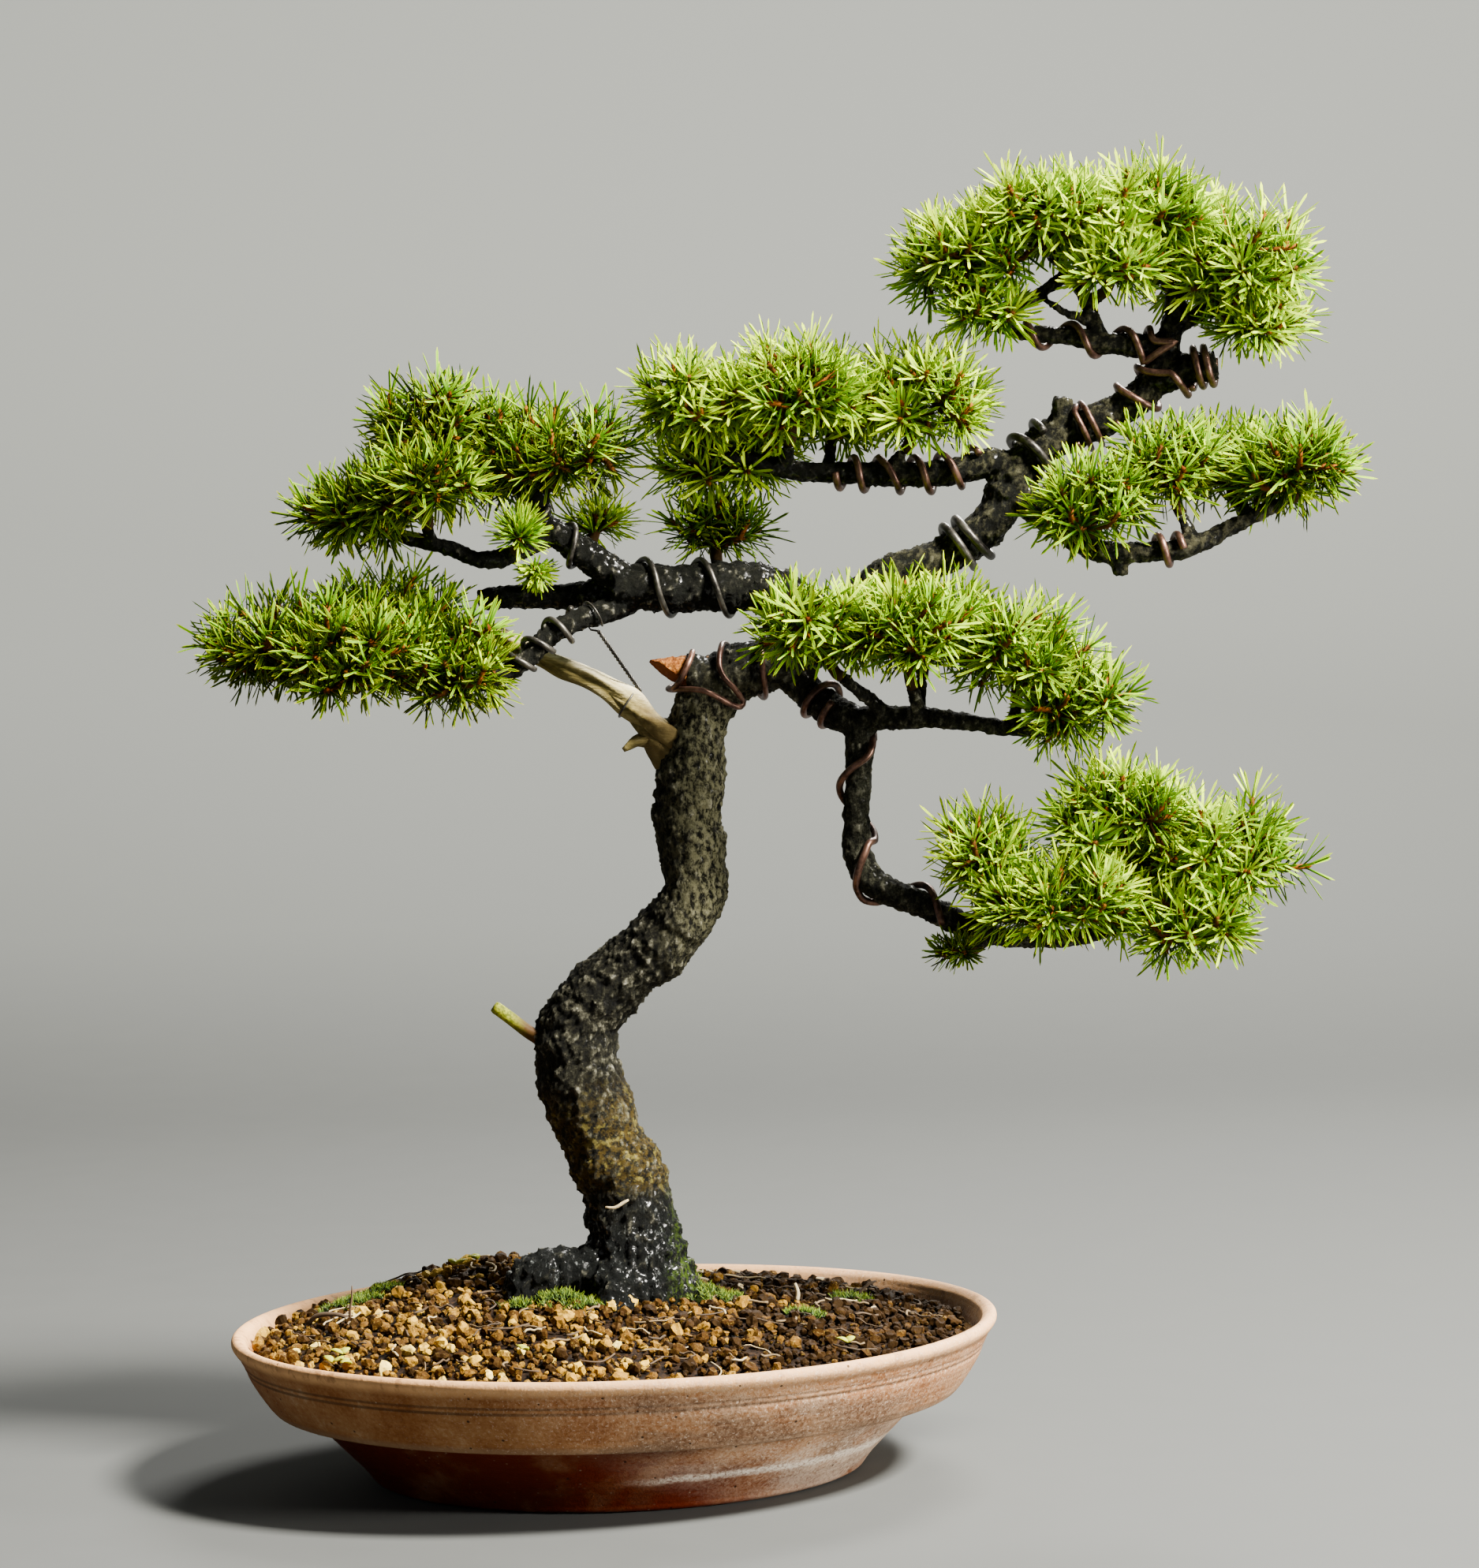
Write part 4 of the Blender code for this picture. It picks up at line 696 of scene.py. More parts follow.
def barkFinish():                                 # heights and places are in millimetres on the tree
    bark = Finish("bark", Specular_IOR_Level=0.10, Coat_Roughness=0.24)
    across, height = bark.spot("X"), bark.spot("Z")
    ridge = bark.own("ridge")
    fine = bark.cloud(0.9, 6, 0.8)
    grain = bark.cloud(2.0, 5, 0.75, stretch=(1.0, 1.0, 0.60))
    mottle = bark.cloud(6.0, 4, 0.6)
    broad = bark.cloud(24, 3, 0.5)
    tufts = bark.between(bark.cloud(2.1, 4, 0.7), 0.42, 0.60)
    streaks = bark.between(bark.cloud(1.9, 5, 0.78, stretch=(1.0, 1.0, 0.40)), 0.58, 0.74)
    lit = bark.band(height, 150, 215, 268, 300) * bark.band(across, 16, 42, 60, 80)
    wet = 1 - bark.between(height + 34 * (mottle - 0.5) + 20 * (broad - 0.5), 84, 116)
    algae = bark.between(across + 16 * (mottle - 0.5), 18, 27) * bark.between(grain, 0.46, 0.60)
    lichen = bark.between(height, 99, 108) * (1 - bark.between(height + 30 * (broad - 0.5), 122, 150))
    # high: the wood among the pads, made near black as painted shade, with its ridges left paler
    high = bark.between(height, 280, 300)
    sunny = bark.between(height, 300, 325) * bark.between(across, 88, 130)
    # drop: the hanging branch under pad e, its pale flakes dulled as painted shade
    drop = bark.between(across, 78, 92) * bark.band(height, 150, 185, 262, 285)
    flakes = ridge * 0.32 + grain * 0.36 + fine * 0.50 + (mottle - 0.5) * 0.25
    colour = bark.layers(bark.ramp(flakes, wood["grey"]), wood, {
        "lit": lit * bark.between(grain, 0.42, 0.62) * 0.62,
        "wet": wet * (0.97 - 0.40 * bark.between(ridge + fine * 0.5, 1.00, 1.35)),
        "glint": wet * streaks * 0.60,
        "algae": wet * algae * 0.8,
        "lichen": lichen * tufts * 0.60,
        "greener": lichen * bark.between(bark.cloud(3.0, 3), 0.55, 0.66) * 0.5,
        # painted shade among the pads
        "high": high * (0.88 - 0.5 * bark.between(ridge + 0.4 * fine, 0.96, 1.25)),
        "sunny": sunny * bark.between(0.5 * grain + 0.5 * fine + 0.35 * (ridge - 0.6), 0.42, 0.66) * 0.55,
        "drop": drop * bark.between(0.5 * grain + 0.5 * fine, 0.44, 0.64) * 0.50,
    })
    gloss = bark.between(bark.cloud(1.8, 3, 0.6), 0.50, 0.66) * (0.60 * wet + 0.50 * high + 0.12)
    bark.feed(bark.shader, {"Coat Weight": gloss})
    return bark.finishWith(colour, 0.86 + 0.1 * mottle, 1.5 * fine + 1.1 * grain, 1.1)


def barkRelief(spot, thick):                      # outward move of the bark, and how high it stands there
    x, y, z = spot
    cracks = noise.voronoi(Vector((x, y, z * 0.55)) / wood["flakes"])[0]
    flake = min(1.0, (cracks[1] - cracks[0]) * 1.9)
    rough = noise.fractal(Vector((x, y, z * 0.72)) / wood["rough"], 0.55, 2.1, 4)
    lump = noise.noise(spot / wood["lumps"])
    size = min(1.0, thick / 12.0)
    foot = max(0.0, min(1.0, (wood["footTop"] - z) / wood["footFade"]))
    out = wood["roughDepth"] * rough * (0.40 + 0.60 * size)
    out += wood["flakeDepth"] * (flake - 0.6) * (0.5 + 0.5 * size)
    out += wood["lumpDepth"] * lump * (0.25 + 0.75 * size)
    out += foot * (wood["footRidge"] * noise.noise(Vector((x, y, z * 0.28)) / 3.4) + 0.3 * rough)
    return out, 0.45 * flake + 0.45 * (0.5 + rough) + 0.15


def nearestThick(points, rods):                   # radius of the wood that each point lies on
    best = np.full(len(points), 1e9)
    thick = np.zeros(len(points))
    for rod in rods:
        a, way = rod[:3], rod[3:6] - rod[:3]
        t = np.clip((points - a) @ way / (way @ way), 0, 1)
        radius = rod[6] + (rod[7] - rod[6]) * t
        gap = np.abs(np.linalg.norm(points - a - t[:, None] * way, axis=1) - radius)
        nearer = gap < best
        best[nearer] = gap[nearer]
        thick[nearer] = radius[nearer]
    return thick


def fineWood():                                   # the wood's lines, a little uneven, with their sides
    lines = [smooth(trunk, wood["fineStep"])]
    lines += [smooth(points, wood["fineStep"]) for name, points in branches.items() if name not in ownPieces]
    lines += [smooth(points, wood["collarStep"]) for points in wood["collars"]]
    chance = random.Random(8)
    fine = []
    for line in lines:
        thick = line[:, 3].copy()
        for k in range(1, len(line) - 1):
            line[k, :3] += [chance.gauss(0, wood["wander"]) * thick[k] for _ in range(3)]
            line[k, 3] *= 1 + wood["swell"] * noise.noise(Vector(line[k, :3]) / 9.0)
        fine.append((line, wood["thickSides" if thick.max() > wood["thinnerThan"] else "thinSides"]))
    return fine


def vertexValues(mesh, name):                     # three numbers for each vertex, as an array
    values = np.empty(len(mesh.vertices) * 3)
    mesh.vertices.foreach_get(name, values)
    return values.reshape(-1, 3)


def makeWood(twigs):
    fine = fineWood()
    parts = [tube(line, sides) for line, sides in fine]
    parts += [tube(smooth(twig, wood["fineStep"]), wood["twigSides"]) for twig in twigs.values()]
    points, faces = gather(parts)
    look = barkFinish()
    made = pieceOf("wood", points, faces, look, ["tree"])
    step = made.modifiers.new("Grow together", "REMESH")
    step.mode = "VOXEL"
    step.voxel_size = wood["voxel"] * mm
    step.use_smooth_shade = True
    mesh = applied(made)
    mesh.materials.clear()
    mesh.materials.append(look.material)
    spots = vertexValues(mesh, "co") / mm
    rods = [rodsOf(smooth(line, 8.0)) for line, _ in fine] + [rodsOf(line) for line in twigs.values()]
    thick = nearestThick(spots, np.vstack(rods))
    moves = np.array([barkRelief(Vector(spot), radius) for spot, radius in zip(spots, thick)])
    spots += vertexValues(mesh, "normal") * moves[:, :1]
    mesh.vertices.foreach_set("co", (spots * mm).ravel())
    store(mesh, "ridge", moves[:, 1])
    mesh.update()
    print("wood:", len(mesh.polygons), "faces")


# bare wood: the pale dead branch, the orange cut and the green twig end
deadwood = {
    "step": 1.3, "sides": 30, "rootSides": 16, "grainTurn": -32,
    "roots": [
        [(36, 1, 250, 5), (28, 0, 258, 6), (19.5, -1, 269, 4.6), (12, -1, 279, 3.2)],
        [(34, -2, 262, 4), (24, -5, 270, 3.6), (15, -4.6, 277, 2.6), (6, -3.4, 284, 1.2)],
    ],
    "pale": [
        (0.24, (0.040, 0.033, 0.0075)), (0.46, (0.142, 0.112, 0.034)), (0.64, (0.300, 0.250, 0.108)),
        (0.86, (0.560, 0.500, 0.310)),
    ],
    "torn": (0.085, 0.056, 0.019),
}
cutStub = {
    "step": 0.6, "sides": 36, "jag": 1.7,
    "line": [
        (47, 3, 287.5, 6.6), (40, 1.5, 289.6, 6.0), (32, -0.5, 291, 5.2), (25, -2, 291.5, 4.4),
        (16, -4, 291.6, 2.8),
    ],
    "cutAt": (25.6, -1.8, 291.4), "cutFaces": (-0.57, -0.38, -0.73), "along": (-0.97, -0.18, 0.15),
    "side": [
        (0.36, (0.022, 0.0075, 0.0018)), (0.46, (0.110, 0.032, 0.0050)), (0.56, (0.240, 0.088, 0.016)),
        (0.68, (0.400, 0.210, 0.062)),
    ],
    "sawnDark": (0.088, 0.018, 0.002), "sawnPale": (0.180, 0.048, 0.006), "bark": (0.030, 0.021, 0.009),
}
greenStub = {
    "step": 1.0, "sides": 16, "cutEnd": 0.86,
    "dark": (0.074, 0.088, 0.0030), "pale": (0.215, 0.230, 0.014), "root": (0.046, 0.022, 0.0050),
}


def deadwoodFinish():
    bare = Finish("deadwood", Specular_IOR_Level=0.12)
    fine = bare.cloud(1.2, 5, 0.7)
    turn = (0, math.radians(deadwood["grainTurn"]), 0)
    turned = bare.node("Mapping", {}, {"Vector": bare.place, "Rotation": turn, "Scale": (0.12, 1.0, 1.0)})
    grain = bare.node("TexNoise", {}, {"Vector": turned, "Scale": 1500.0, "Detail": 4.0})
    colour = bare.ramp(bare.own("ridge") * 0.70 + grain * 0.35, deadwood["pale"])
    torn = bare.between(bare.spot("X") + 12 * (fine - 0.5), 11, 22)
    colour = bare.mix(colour, deadwood["torn"], torn * 0.66)
    return bare.finishWith(colour, 0.75 + 0.1 * fine, grain + 0.4 * fine, 0.4, 0.9)


def makeDeadwood():
    look = deadwoodFinish()
    sides = deadwood["sides"]
    line = smooth(branches["jin"], deadwood["step"])
    line[:, 3] *= 1 + 0.10 * np.sin(np.arange(len(line)) * 0.35)
    heights = []

    def shape(share, angle):                      # ridges that run along the branch and fade in from its root
        wave = 0.16 * np.sin(3 * angle + 5.0 * share) + 0.10 * np.sin(5 * angle - 9 * share + 1.0)
        wave = wave + 0.06 * np.sin(11 * angle + 4 * share) + 0.05 * np.sin(37 * share + 2 * angle)
        heights.append(wave * np.clip((share - 0.10) / 0.25, 0.15, 1))
        return (1 + heights[-1]) * (1 - 0.30 * np.clip((share - 0.94) / 0.06, 0, 1))

    points, faces = tube(line, sides, shape)
    made = pieceOf("deadwood", points, faces, look, ["tree"])
    # the upper side of the dead branch is made paler: painted light from above
    top = (points[:, 2] - np.repeat(line[:, 2], sides)) / np.repeat(line[:, 3], sides)
    store(made.data, "ridge", np.clip(0.5 + 1.1 * heights[0].ravel() + 0.28 * top, 0, 1))
    parts = []
    for points in [branches["jin_spur"]] + deadwood["roots"]:
        root = smooth(points, deadwood["step"])
        parts.append(tube(root, deadwood["rootSides"], lambda share, angle: (
            1 + 0.16 * np.sin(3 * angle + 9 * share) - 0.35 * share**3)))
    points, faces = gather(parts)
    made = pieceOf("deadwood_root", points, faces, look)
    store(made.data, "ridge", [0.30 + 0.5 * noise.noise(Vector(p) / 2.5) for p in points])


def cutFinish():
    cut = Finish("cut_wood", Specular_IOR_Level=0.06)
    fine = cut.cloud(1.0, 5, 0.7)
    mottle = cut.cloud(3.4, 4, 0.6)
    face = cut.own("face")
    sawn = cut.mix(cutStub["sawnDark"], cutStub["sawnPale"], fine)
    colour = cut.mix(cut.ramp(mottle * 0.5 + fine * 0.5, cutStub["side"]), sawn, face)
    barked = cut.between(cut.spot("X") + 12 * (mottle - 0.5), 33.0, 40.0) * (1 - face)
    colour = cut.mix(colour, cutStub["bark"], barked * (0.95 - 0.5 * cut.between(fine, 0.5, 0.62)))
    return cut.finishWith(colour, 0.66 + 0.15 * fine, fine + mottle, 0.8)


def makeCutStub():                                # the slanting saw cut faces left, down and to the front
    line = smooth(cutStub["line"], cutStub["step"])
    points, faces = tube(line, cutStub["sides"], lambda share, angle: (
        1 + 0.05 * np.sin(4 * angle + 7 * share) + 0.03 * np.sin(9 * angle - 20 * share)))
    cutAt, cutFaces, along = (np.array(cutStub[name]) for name in ("cutAt", "cutFaces", "along"))
    cutFaces /= np.linalg.norm(cutFaces)
    along /= np.linalg.norm(along)
    beyond = (points - cutAt) @ cutFaces
    face = beyond > 0
    points[face] -= np.outer(beyond[face] / (along @ cutFaces), along)
    jag = np.array([noise.fractal(Vector(p) / cutStub["jag"], 0.6, 2.0, 3) for p in points])
    middle = cutAt + np.outer((points - cutAt) @ along, along)
    aside = np.where(face, 0.0, 0.13 * jag)[:, None] * (points - middle)
    points += aside - np.outer(np.where(face, 0.25, 0.7) * jag, along)
    made = pieceOf("cut_stub", points, faces, cutFinish(), ["tree"])
    store(made.data, "face", face.astype(float))


def makeGreenStub():
    green = Finish("green_twig", Specular_IOR_Level=0.08)
    fine = green.cloud(1.2, 4, 0.6)
    colour = green.mix(greenStub["dark"], greenStub["pale"], green.between(fine, 0.4, 0.6))
    colour = green.mix(colour, greenStub["root"], green.between(green.spot("X") + 9 * (fine - 0.5), -36, -27))
    green.finishWith(colour, 0.5 + 0.2 * fine, fine, 0.2, 0.6)
    line = smooth(branches["green_stub"], greenStub["step"])
    line[-1, 3] *= greenStub["cutEnd"]
    points, faces = tube(line, greenStub["sides"], lambda share, angle: (
        1 + 0.05 * np.sin(3 * angle + 9 * share)))
    pieceOf("green_stub", points, faces, green, ["tree"])


# wires
wires = {
    "turnPoints": 18, "sides": 10, "step": 1.6, "lift": 0.1, "trunkSwell": 0.4,
    "thick": 1.6, "middle": 1.35, "thin": 1.1,
    "coarsePoints": 6, "coarseGap": 0.3, "bridge": 6,
    "guyRadius": 0.75, "guyStrand": 0.40, "guySides": 8,
    "guyTop": (2.5, -9.0, 306.6), "guyFoot": (17.0, -1.0, 284.0),
    "loopStart": 28, "loopTurn": 304, "loopPitch": 3.0,
    "copper": ((0.034, 0.014, 0.0085), (0.170, 0.088, 0.060)),
    "dark": ((0.012, 0.0105, 0.0085), (0.085, 0.078, 0.064)),
}
guyCoarse = {"turns": 3, "turnPoints": 5, "lowPoints": 9, "highPoints": 12}
guyFine = {"turns": 9, "turnPoints": 8, "lowPoints": 16, "highPoints": 16}
coils = {
    "wire_bend": ("thin", [
        ("cut_stub", (30, 292), (38, 290), -1.0, 100),
        ("trunk", (45, 286), (74, 296), -1.9, 60),
    ]),
    "wire_junction": ("middle", [("right_lower", (79, 281), (88, 274), -1.6, 200)]),
    "wire_drop": ("middle", [("right_lower", (96, 266), (126, 200), 2.35, -100)]),
    "wire_centre": ("middle", [
        ("centre_branch", (142, 363), (112, 360), 2.8, 40),
        ("centre_branch", (106, 360), (90, 361), 1.8, 70),
    ]),
    "wire_knot": ("thick", [("trunk", (161, 364), (168, 370), 1.5, 150)]),
    "wire_knot_right": ("thin", [("trunk", (177, 374), (185, 377), 2.2, 30)]),
    "wire_upper_trunk": ("thick", [("trunk", (132, 332), (141, 337), 2.0, 160)]),
    "wire_crown": ("middle", [
        ("trunk", (191, 379), (213, 405), 3.0, 20),
        ("crown_left", (204, 403), (160, 410), 2.3, 300),
    ]),
    "wire_crown_stub": ("middle", [("crown_stub", (220, 395), (229, 396), 2.4, 60)]),
    "wire_left": ("thin", [
        ("left_branch", (54, 321), (14, 323), 1.9, -150),
        ("upper_left", (-1, 334), (-17, 350), 1.6, 200),
    ]),
    "wire_lower_left": ("thin", [("lower_left", (-5, 311), (-31, 292), 3.4, 90)]),
    "wire_right": ("middle", [("right_branch", (204, 329), (214, 330), 1.5, 180)]),
}
darkWires = ["wire_knot", "wire_upper_trunk", "wire_left", "wire_lower_left"]


def coil(line, start, end, turns, angle, reachBeyond, turnPoints):
    first, last = lengthAt(line, *start), lengthAt(line, *end)
    count = max(4, round(abs(turns) * turnPoints))
    points = []
    for i in range(count + 1):
        centre, thick, way = at(line, first + (last - first) * i / count)
        way = -way if last < first else way
        side = (front - way * front.dot(way)).normalized()
        other = way.cross(side)
        turn = math.radians(angle) + 2 * math.pi * turns * i / count
        reach = (thick + reachBeyond) / math.cos(math.pi / turnPoints)
        points.append(np.array(centre + (side * math.cos(turn) + other * math.sin(turn)) * reach))
    return points


def layWires(lines, woodRods, turnPoints, gap):   # each wire's line, clear of the wood and wires before it
    laid = {}
    rods = woodRods.copy()
    for name, (kind, turns) in coils.items():
        radius = wires[kind]
        points = []
        for carrier, start, end, count, angle in turns:
            swell = wires["trunkSwell"] if carrier == "trunk" else 0.0
            more = coil(lines[carrier], start, end, count, angle, swell + radius + gap, turnPoints)
            if points:
                steps = max(2, round(float(np.linalg.norm(more[0] - points[-1])) / wires["bridge"]))
                points += [points[-1] + (more[0] - points[-1]) * i / steps for i in range(1, steps)]
            points += more
        points = bendClear(points, radius, rods, gap)
        laid[name] = np.hstack([points, np.full((len(points), 1), radius)])
        rods = np.vstack([rods, rodsOf(laid[name])])
    reach = wires["guyRadius"] + 0.5 * gap
    guy = bendClear(guyPoints(lines, gap, reach, guyCoarse), wires["guyRadius"], rods, gap)
    laid["guy_wire"] = np.hstack([guy, np.full((len(guy), 1), wires["guyRadius"])])
    return laid


def guyPoints(lines, gap, reach, counts):         # round the branch, twisted down, round the jin and up
    top, foot = Vector(wires["guyTop"]), Vector(wires["guyFoot"])
    way = (foot - top).normalized()
    side = (front - way * front.dot(way)).normalized()
    other = way.cross(side)
    steps = counts["turns"] * counts["turnPoints"]
    strands = []
    for phase in (0.0, math.pi):
        strand = []
        for i in range(steps + 1):
            turn = phase + 2 * math.pi * i / counts["turnPoints"]
            spoke = (side * math.cos(turn) + other * math.sin(turn)) * reach
            offset = spoke / math.cos(math.pi / counts["turnPoints"])
            strand.append(top + (foot - top) * i / steps + offset)
        strands.append(strand)
    low = loopPoints(lines["jin"], foot, counts["lowPoints"], gap)
    high = loopPoints(lines["lower_left"], top, counts["highPoints"], gap)
    return [np.array(point) for point in high + strands[0] + low + strands[1][::-1]]


def loopPoints(line, near, count, gap):
    centre, thick, way = at(line, lengthAt(line, near.x, near.z))
    side = near - centre
    side = (side - way * side.dot(way)).normalized()
    other = way.cross(side)
    reach = (thick + wires["guyRadius"] + gap) / math.cos(math.pi / count)
    points = []
    for i in range(count + 1):
        turn = math.radians(wires["loopStart"] + wires["loopTurn"] * i / count)
        along = way * (i / count - 0.5) * wires["loopPitch"]
        points.append(centre + (side * math.cos(turn) + other * math.sin(turn)) * reach + along)
    return points


def wireFinish(name, tones):
    metal = Finish(name, Metallic=0.75, Specular_IOR_Level=0.5)
    wear = metal.cloud(2.6, 5, 0.7)
    stain = metal.cloud(11, 3, 0.5)
    colour = metal.mix(*tones, metal.between(wear * 0.6 + stain * 0.5, 0.42, 0.70))
    return metal.finishWith(colour, 0.26 + 0.25 * wear, wear, 0.12, 0.5)


def makeWires(lines, woodRods):
    laid = layWires(lines, woodRods, wires["turnPoints"], wires["lift"])
    copper = wireFinish("copper_wire", wires["copper"])
    dark = wireFinish("dark_wire", wires["dark"])
    for name in coils:
        points, faces = tube(smooth(laid[name], wires["step"]), wires["sides"])
        look, slot = (dark, "dark_wire") if name in darkWires else (copper, "copper_wire")
        pieceOf("fine_" + name, points, faces, look, [name])
    guy = guyPoints(lines, wires["lift"], wires["guyStrand"], guyFine)
    guy = np.array([[*point, wires["guyStrand"]] for point in guy])
    points, faces = tube(guy, wires["guySides"])
    pieceOf("fine_guy_wire", points, faces, dark, ["guy_wire"])
    print("wires:", len(laid))


# foliage
lobes = {                                         # centre and half sizes of each leafy stem, needles included
    "pad_a_1": (-117, -20, 304, 28, 25, 22), "pad_a_2": (-84, -38, 299, 30, 21, 24),
    "pad_a_3": (-76, -1, 309, 32, 25, 25), "pad_a_4": (-48, -25, 296, 25, 26, 24),
    "pad_b_1": (-84, -8, 352, 26, 26, 20), "pad_b_2": (-57, -4, 382, 26, 24, 21),
    "pad_b_3": (-57, -30, 361, 23, 17, 19), "pad_b_4": (-10, -10, 371, 30, 25, 21),
    "pad_b_5": (-40, 25, 368, 34, 21, 21),
    "tuft_left": (-24, -24, 343, 11, 9, 10), "tuft_back": (3, 10, 346, 15, 12, 11),
    "tuft_centre": (46, 12, 343, 22, 19, 15),
    "pad_c_1": (39, -10, 388, 25, 24, 22), "pad_c_2": (76, -20, 391, 26, 20, 23),
    "pad_c_3": (49, 10, 369, 29, 24, 21), "pad_c_4": (122, -8, 387, 31, 26, 24),
    "pad_c_5": (90, 16, 386, 25, 21, 22),
    "pad_g_1": (134, -2, 437, 25, 25, 22), "pad_g_2": (166, -15, 452, 25, 21, 19),
    "pad_g_3": (205, -8, 452, 28, 24, 20), "pad_g_4": (241, -8, 431, 29, 26, 25),
    "pad_g_5": (222, 18, 437, 28, 23, 26), "pad_g_6": (172, 18, 452, 29, 21, 18),
    "pad_g_7": (146, -10, 418, 19, 18, 14), "pad_g_8": (193, -20, 433, 23, 17, 17),
    "pad_g_9": (245, -4, 411, 23, 22, 15),
    "pad_d_1": (181, -26, 347, 25, 22, 20), "pad_d_2": (210, -16, 361, 22, 22, 20),
    "pad_d_3": (256, -16, 358, 27, 24, 23), "pad_d_4": (233, 6, 359, 26, 20, 20),
    "pad_e_1": (80, -34, 305, 27, 22, 20), "pad_e_2": (112, -42, 303, 27, 19, 21),
    "pad_e_3": (121, -14, 307, 28, 20, 18), "pad_e_4": (153, -32, 295, 30, 24, 21),
    "pad_e_5": (172, -30, 275, 26, 24, 21),
    "pad_f_1": (139, -30, 222, 22, 22, 22), "pad_f_2": (188, -26, 237, 29, 24, 21),
    "pad_f_3": (228, -24, 219, 31, 25, 24), "pad_f_4": (162, -43, 206, 34, 17, 18),
    "pad_f_5": (196, -4, 212, 33, 20, 23), "pad_f_6": (213, -34, 194, 26, 18, 18),
    "tuft_low": (128, -30, 188, 14, 11, 9), "tuft_stub": (-19, -7, 328, 10, 9, 9.5),
}
carriers = {
    "pad_a": ["lower_left"], "pad_b": ["upper_left", "upper_fork"], "tuft_left": ["upper_fork"],
    "tuft_back": ["upper_left", "left_branch"], "tuft_centre": ["left_branch"], "pad_c": ["centre_branch"],
    "pad_g": ["trunk", "crown_left", "crown_inner", "crown_right"], "pad_d": ["right_branch"],
    "pad_e": ["right_ledge", "right_lower"], "pad_f": ["right_lower"], "tuft_low": ["right_lower"],
    "tuft_stub": ["back_stub"],
}
foliage = {
    "twigRoot": 2.8, "twigTip": 2.2, "stemTip": 1.9, "gap": 0.3, "mothers": 7,
    "twigTries": 40, "lifts": (0.0, 0.25, 0.5),
    "areaOfShoot": 245.0, "smallShoots": 11, "bridgeShoots": 4, "shootRoot": 1.2, "shootTip": 1.0,
    "needleLength": 12.6, "needleWidth": 0.56, "needleThick": 0.42, "perMillimetre": 1.05, "endNeedles": 13,
    "leafy": 18.0, "curved": 0.12, "openBuds": 0.16, "openNeedles": 9, "freshShoots": 0.75,
    "curvedRings": [(0.0, 0.62), (0.45, 1.0), (0.90, 0.72)],        # share of the length and of the width
    "straightRings": [(0.0, 0.70), (0.88, 0.86)],
    "sides": [(1.0, 0.0), (0.0, 1.0), (-1.0, 0.0)],                 # an edge, the ridge and the other edge
    "body": [
        (0.06, (0.0005, 0.0085, 0.0002)), (0.30, (0.0045, 0.042, 0.0002)), (0.56, (0.061, 0.225, 0.0002)),
        (0.90, (0.375, 0.560, 0.0002)),
    ],
    "painted_root_shade": (0.002, 0.008, 0.0003), "pale": (0.590, 0.700, 0.0002), "root": (0.15, 0.085, 0.008),
    "tip": (0.660, 0.580, 0.002),
    "oldBark": ((0.006, 0.0042, 0.0024), (0.034, 0.020, 0.0072)),
    "newBark": ((0.078, 0.019, 0.0022), (0.190, 0.062, 0.0065)),
    "bud": [(0.2, (0.026, 0.0052, 0.0005)), (0.5, (0.082, 0.021, 0.0014)), (0.8, (0.190, 0.074, 0.0045))],
    "budProfile": [(0.0, 0.85), (1.3, 1.15), (3.0, 0.15)],
}
freshness_and_sun = {                                     # how yellow-green each pad is: partly its fresh growth, partly painted light
    "pad_a": 0.28, "pad_b": 0.32, "pad_c": 0.86, "pad_d": 0.46, "pad_e": 0.60, "pad_f": 0.74, "pad_g": 0.90,
    "tuft_left": 0.66, "tuft_back": 0.85, "tuft_centre": 0.40, "tuft_low": 0.25, "tuft_stub": 0.85,
}
twigCosts = {"lift": 20, "wire": 60, "wood": 200, "short": 40, "back": 80}


def twigCost(root, end, stem, way, lift, hard, wireRods):
    twigRoot, twigTip = foliage["twigRoot"], foliage["twigTip"]
    cost = way.length + twigCosts["lift"] * lift
    cost += 0 if freeOf(root, end, twigRoot, wireRods, 0.5) else twigCosts["wire"]
    cost += 0 if freeOf(stem[0], stem[1], twigTip, hard, 0.5) else twigCosts["wood"]
    cost += 0 if freeOf(stem[1], stem[2], twigTip, hard, 0.5) else twigCosts["wood"]
    cost += twigCosts["short"] if (stem[2] - stem[1]).length < 5 else 0
    return cost + (twigCosts["back"] if (stem[2] - stem[1]).dot(way) < 0 else 0)


def twigAndStem(name, lines, hard, wireRods):     # the twig that carries a lobe and the leafy stem beyond it
    x, y, z, _, _, rz = lobes[name]
    tries = foliage["twigTries"]
    best = None
    for carrier in carriers.get(name) or carriers[name[:5]]:
        line = lines[carrier]
        total = float(lengthsOf(line)[-1])
        first = 0.25 * total if carrier != "trunk" else total - 45
        for share in range(tries):
            for lift in foliage["lifts"]:
                root, thick, _ = at(line, first + (total - 1.0 - first) * share / (tries - 1))
                way = Vector((x, y, z + (lift - 0.45) * rz)) - root
                if way.length < 6:
                    continue
                end = root + way * min(0.7, max(0.5, 1 - 14 / way.length))
                if (end - root).length < thick + 3.5:
                    end = root + way.normalized() * (thick + 3.5)
                step = (end - root).normalized()
                start = end + step * foliage["gap"]
                stem = [start, start + step * 3.0, Vector((x, y, z + (lift - 0.1) * rz))]
                cost = twigCost(root, end, stem, way, lift, hard, wireRods)
                if best is None or cost < best[0]:
                    best = (cost, root, end, stem)
    twig = np.array([(*best[1], foliage["twigRoot"]), (*best[2], foliage["twigTip"])])
    return twig, best[3]


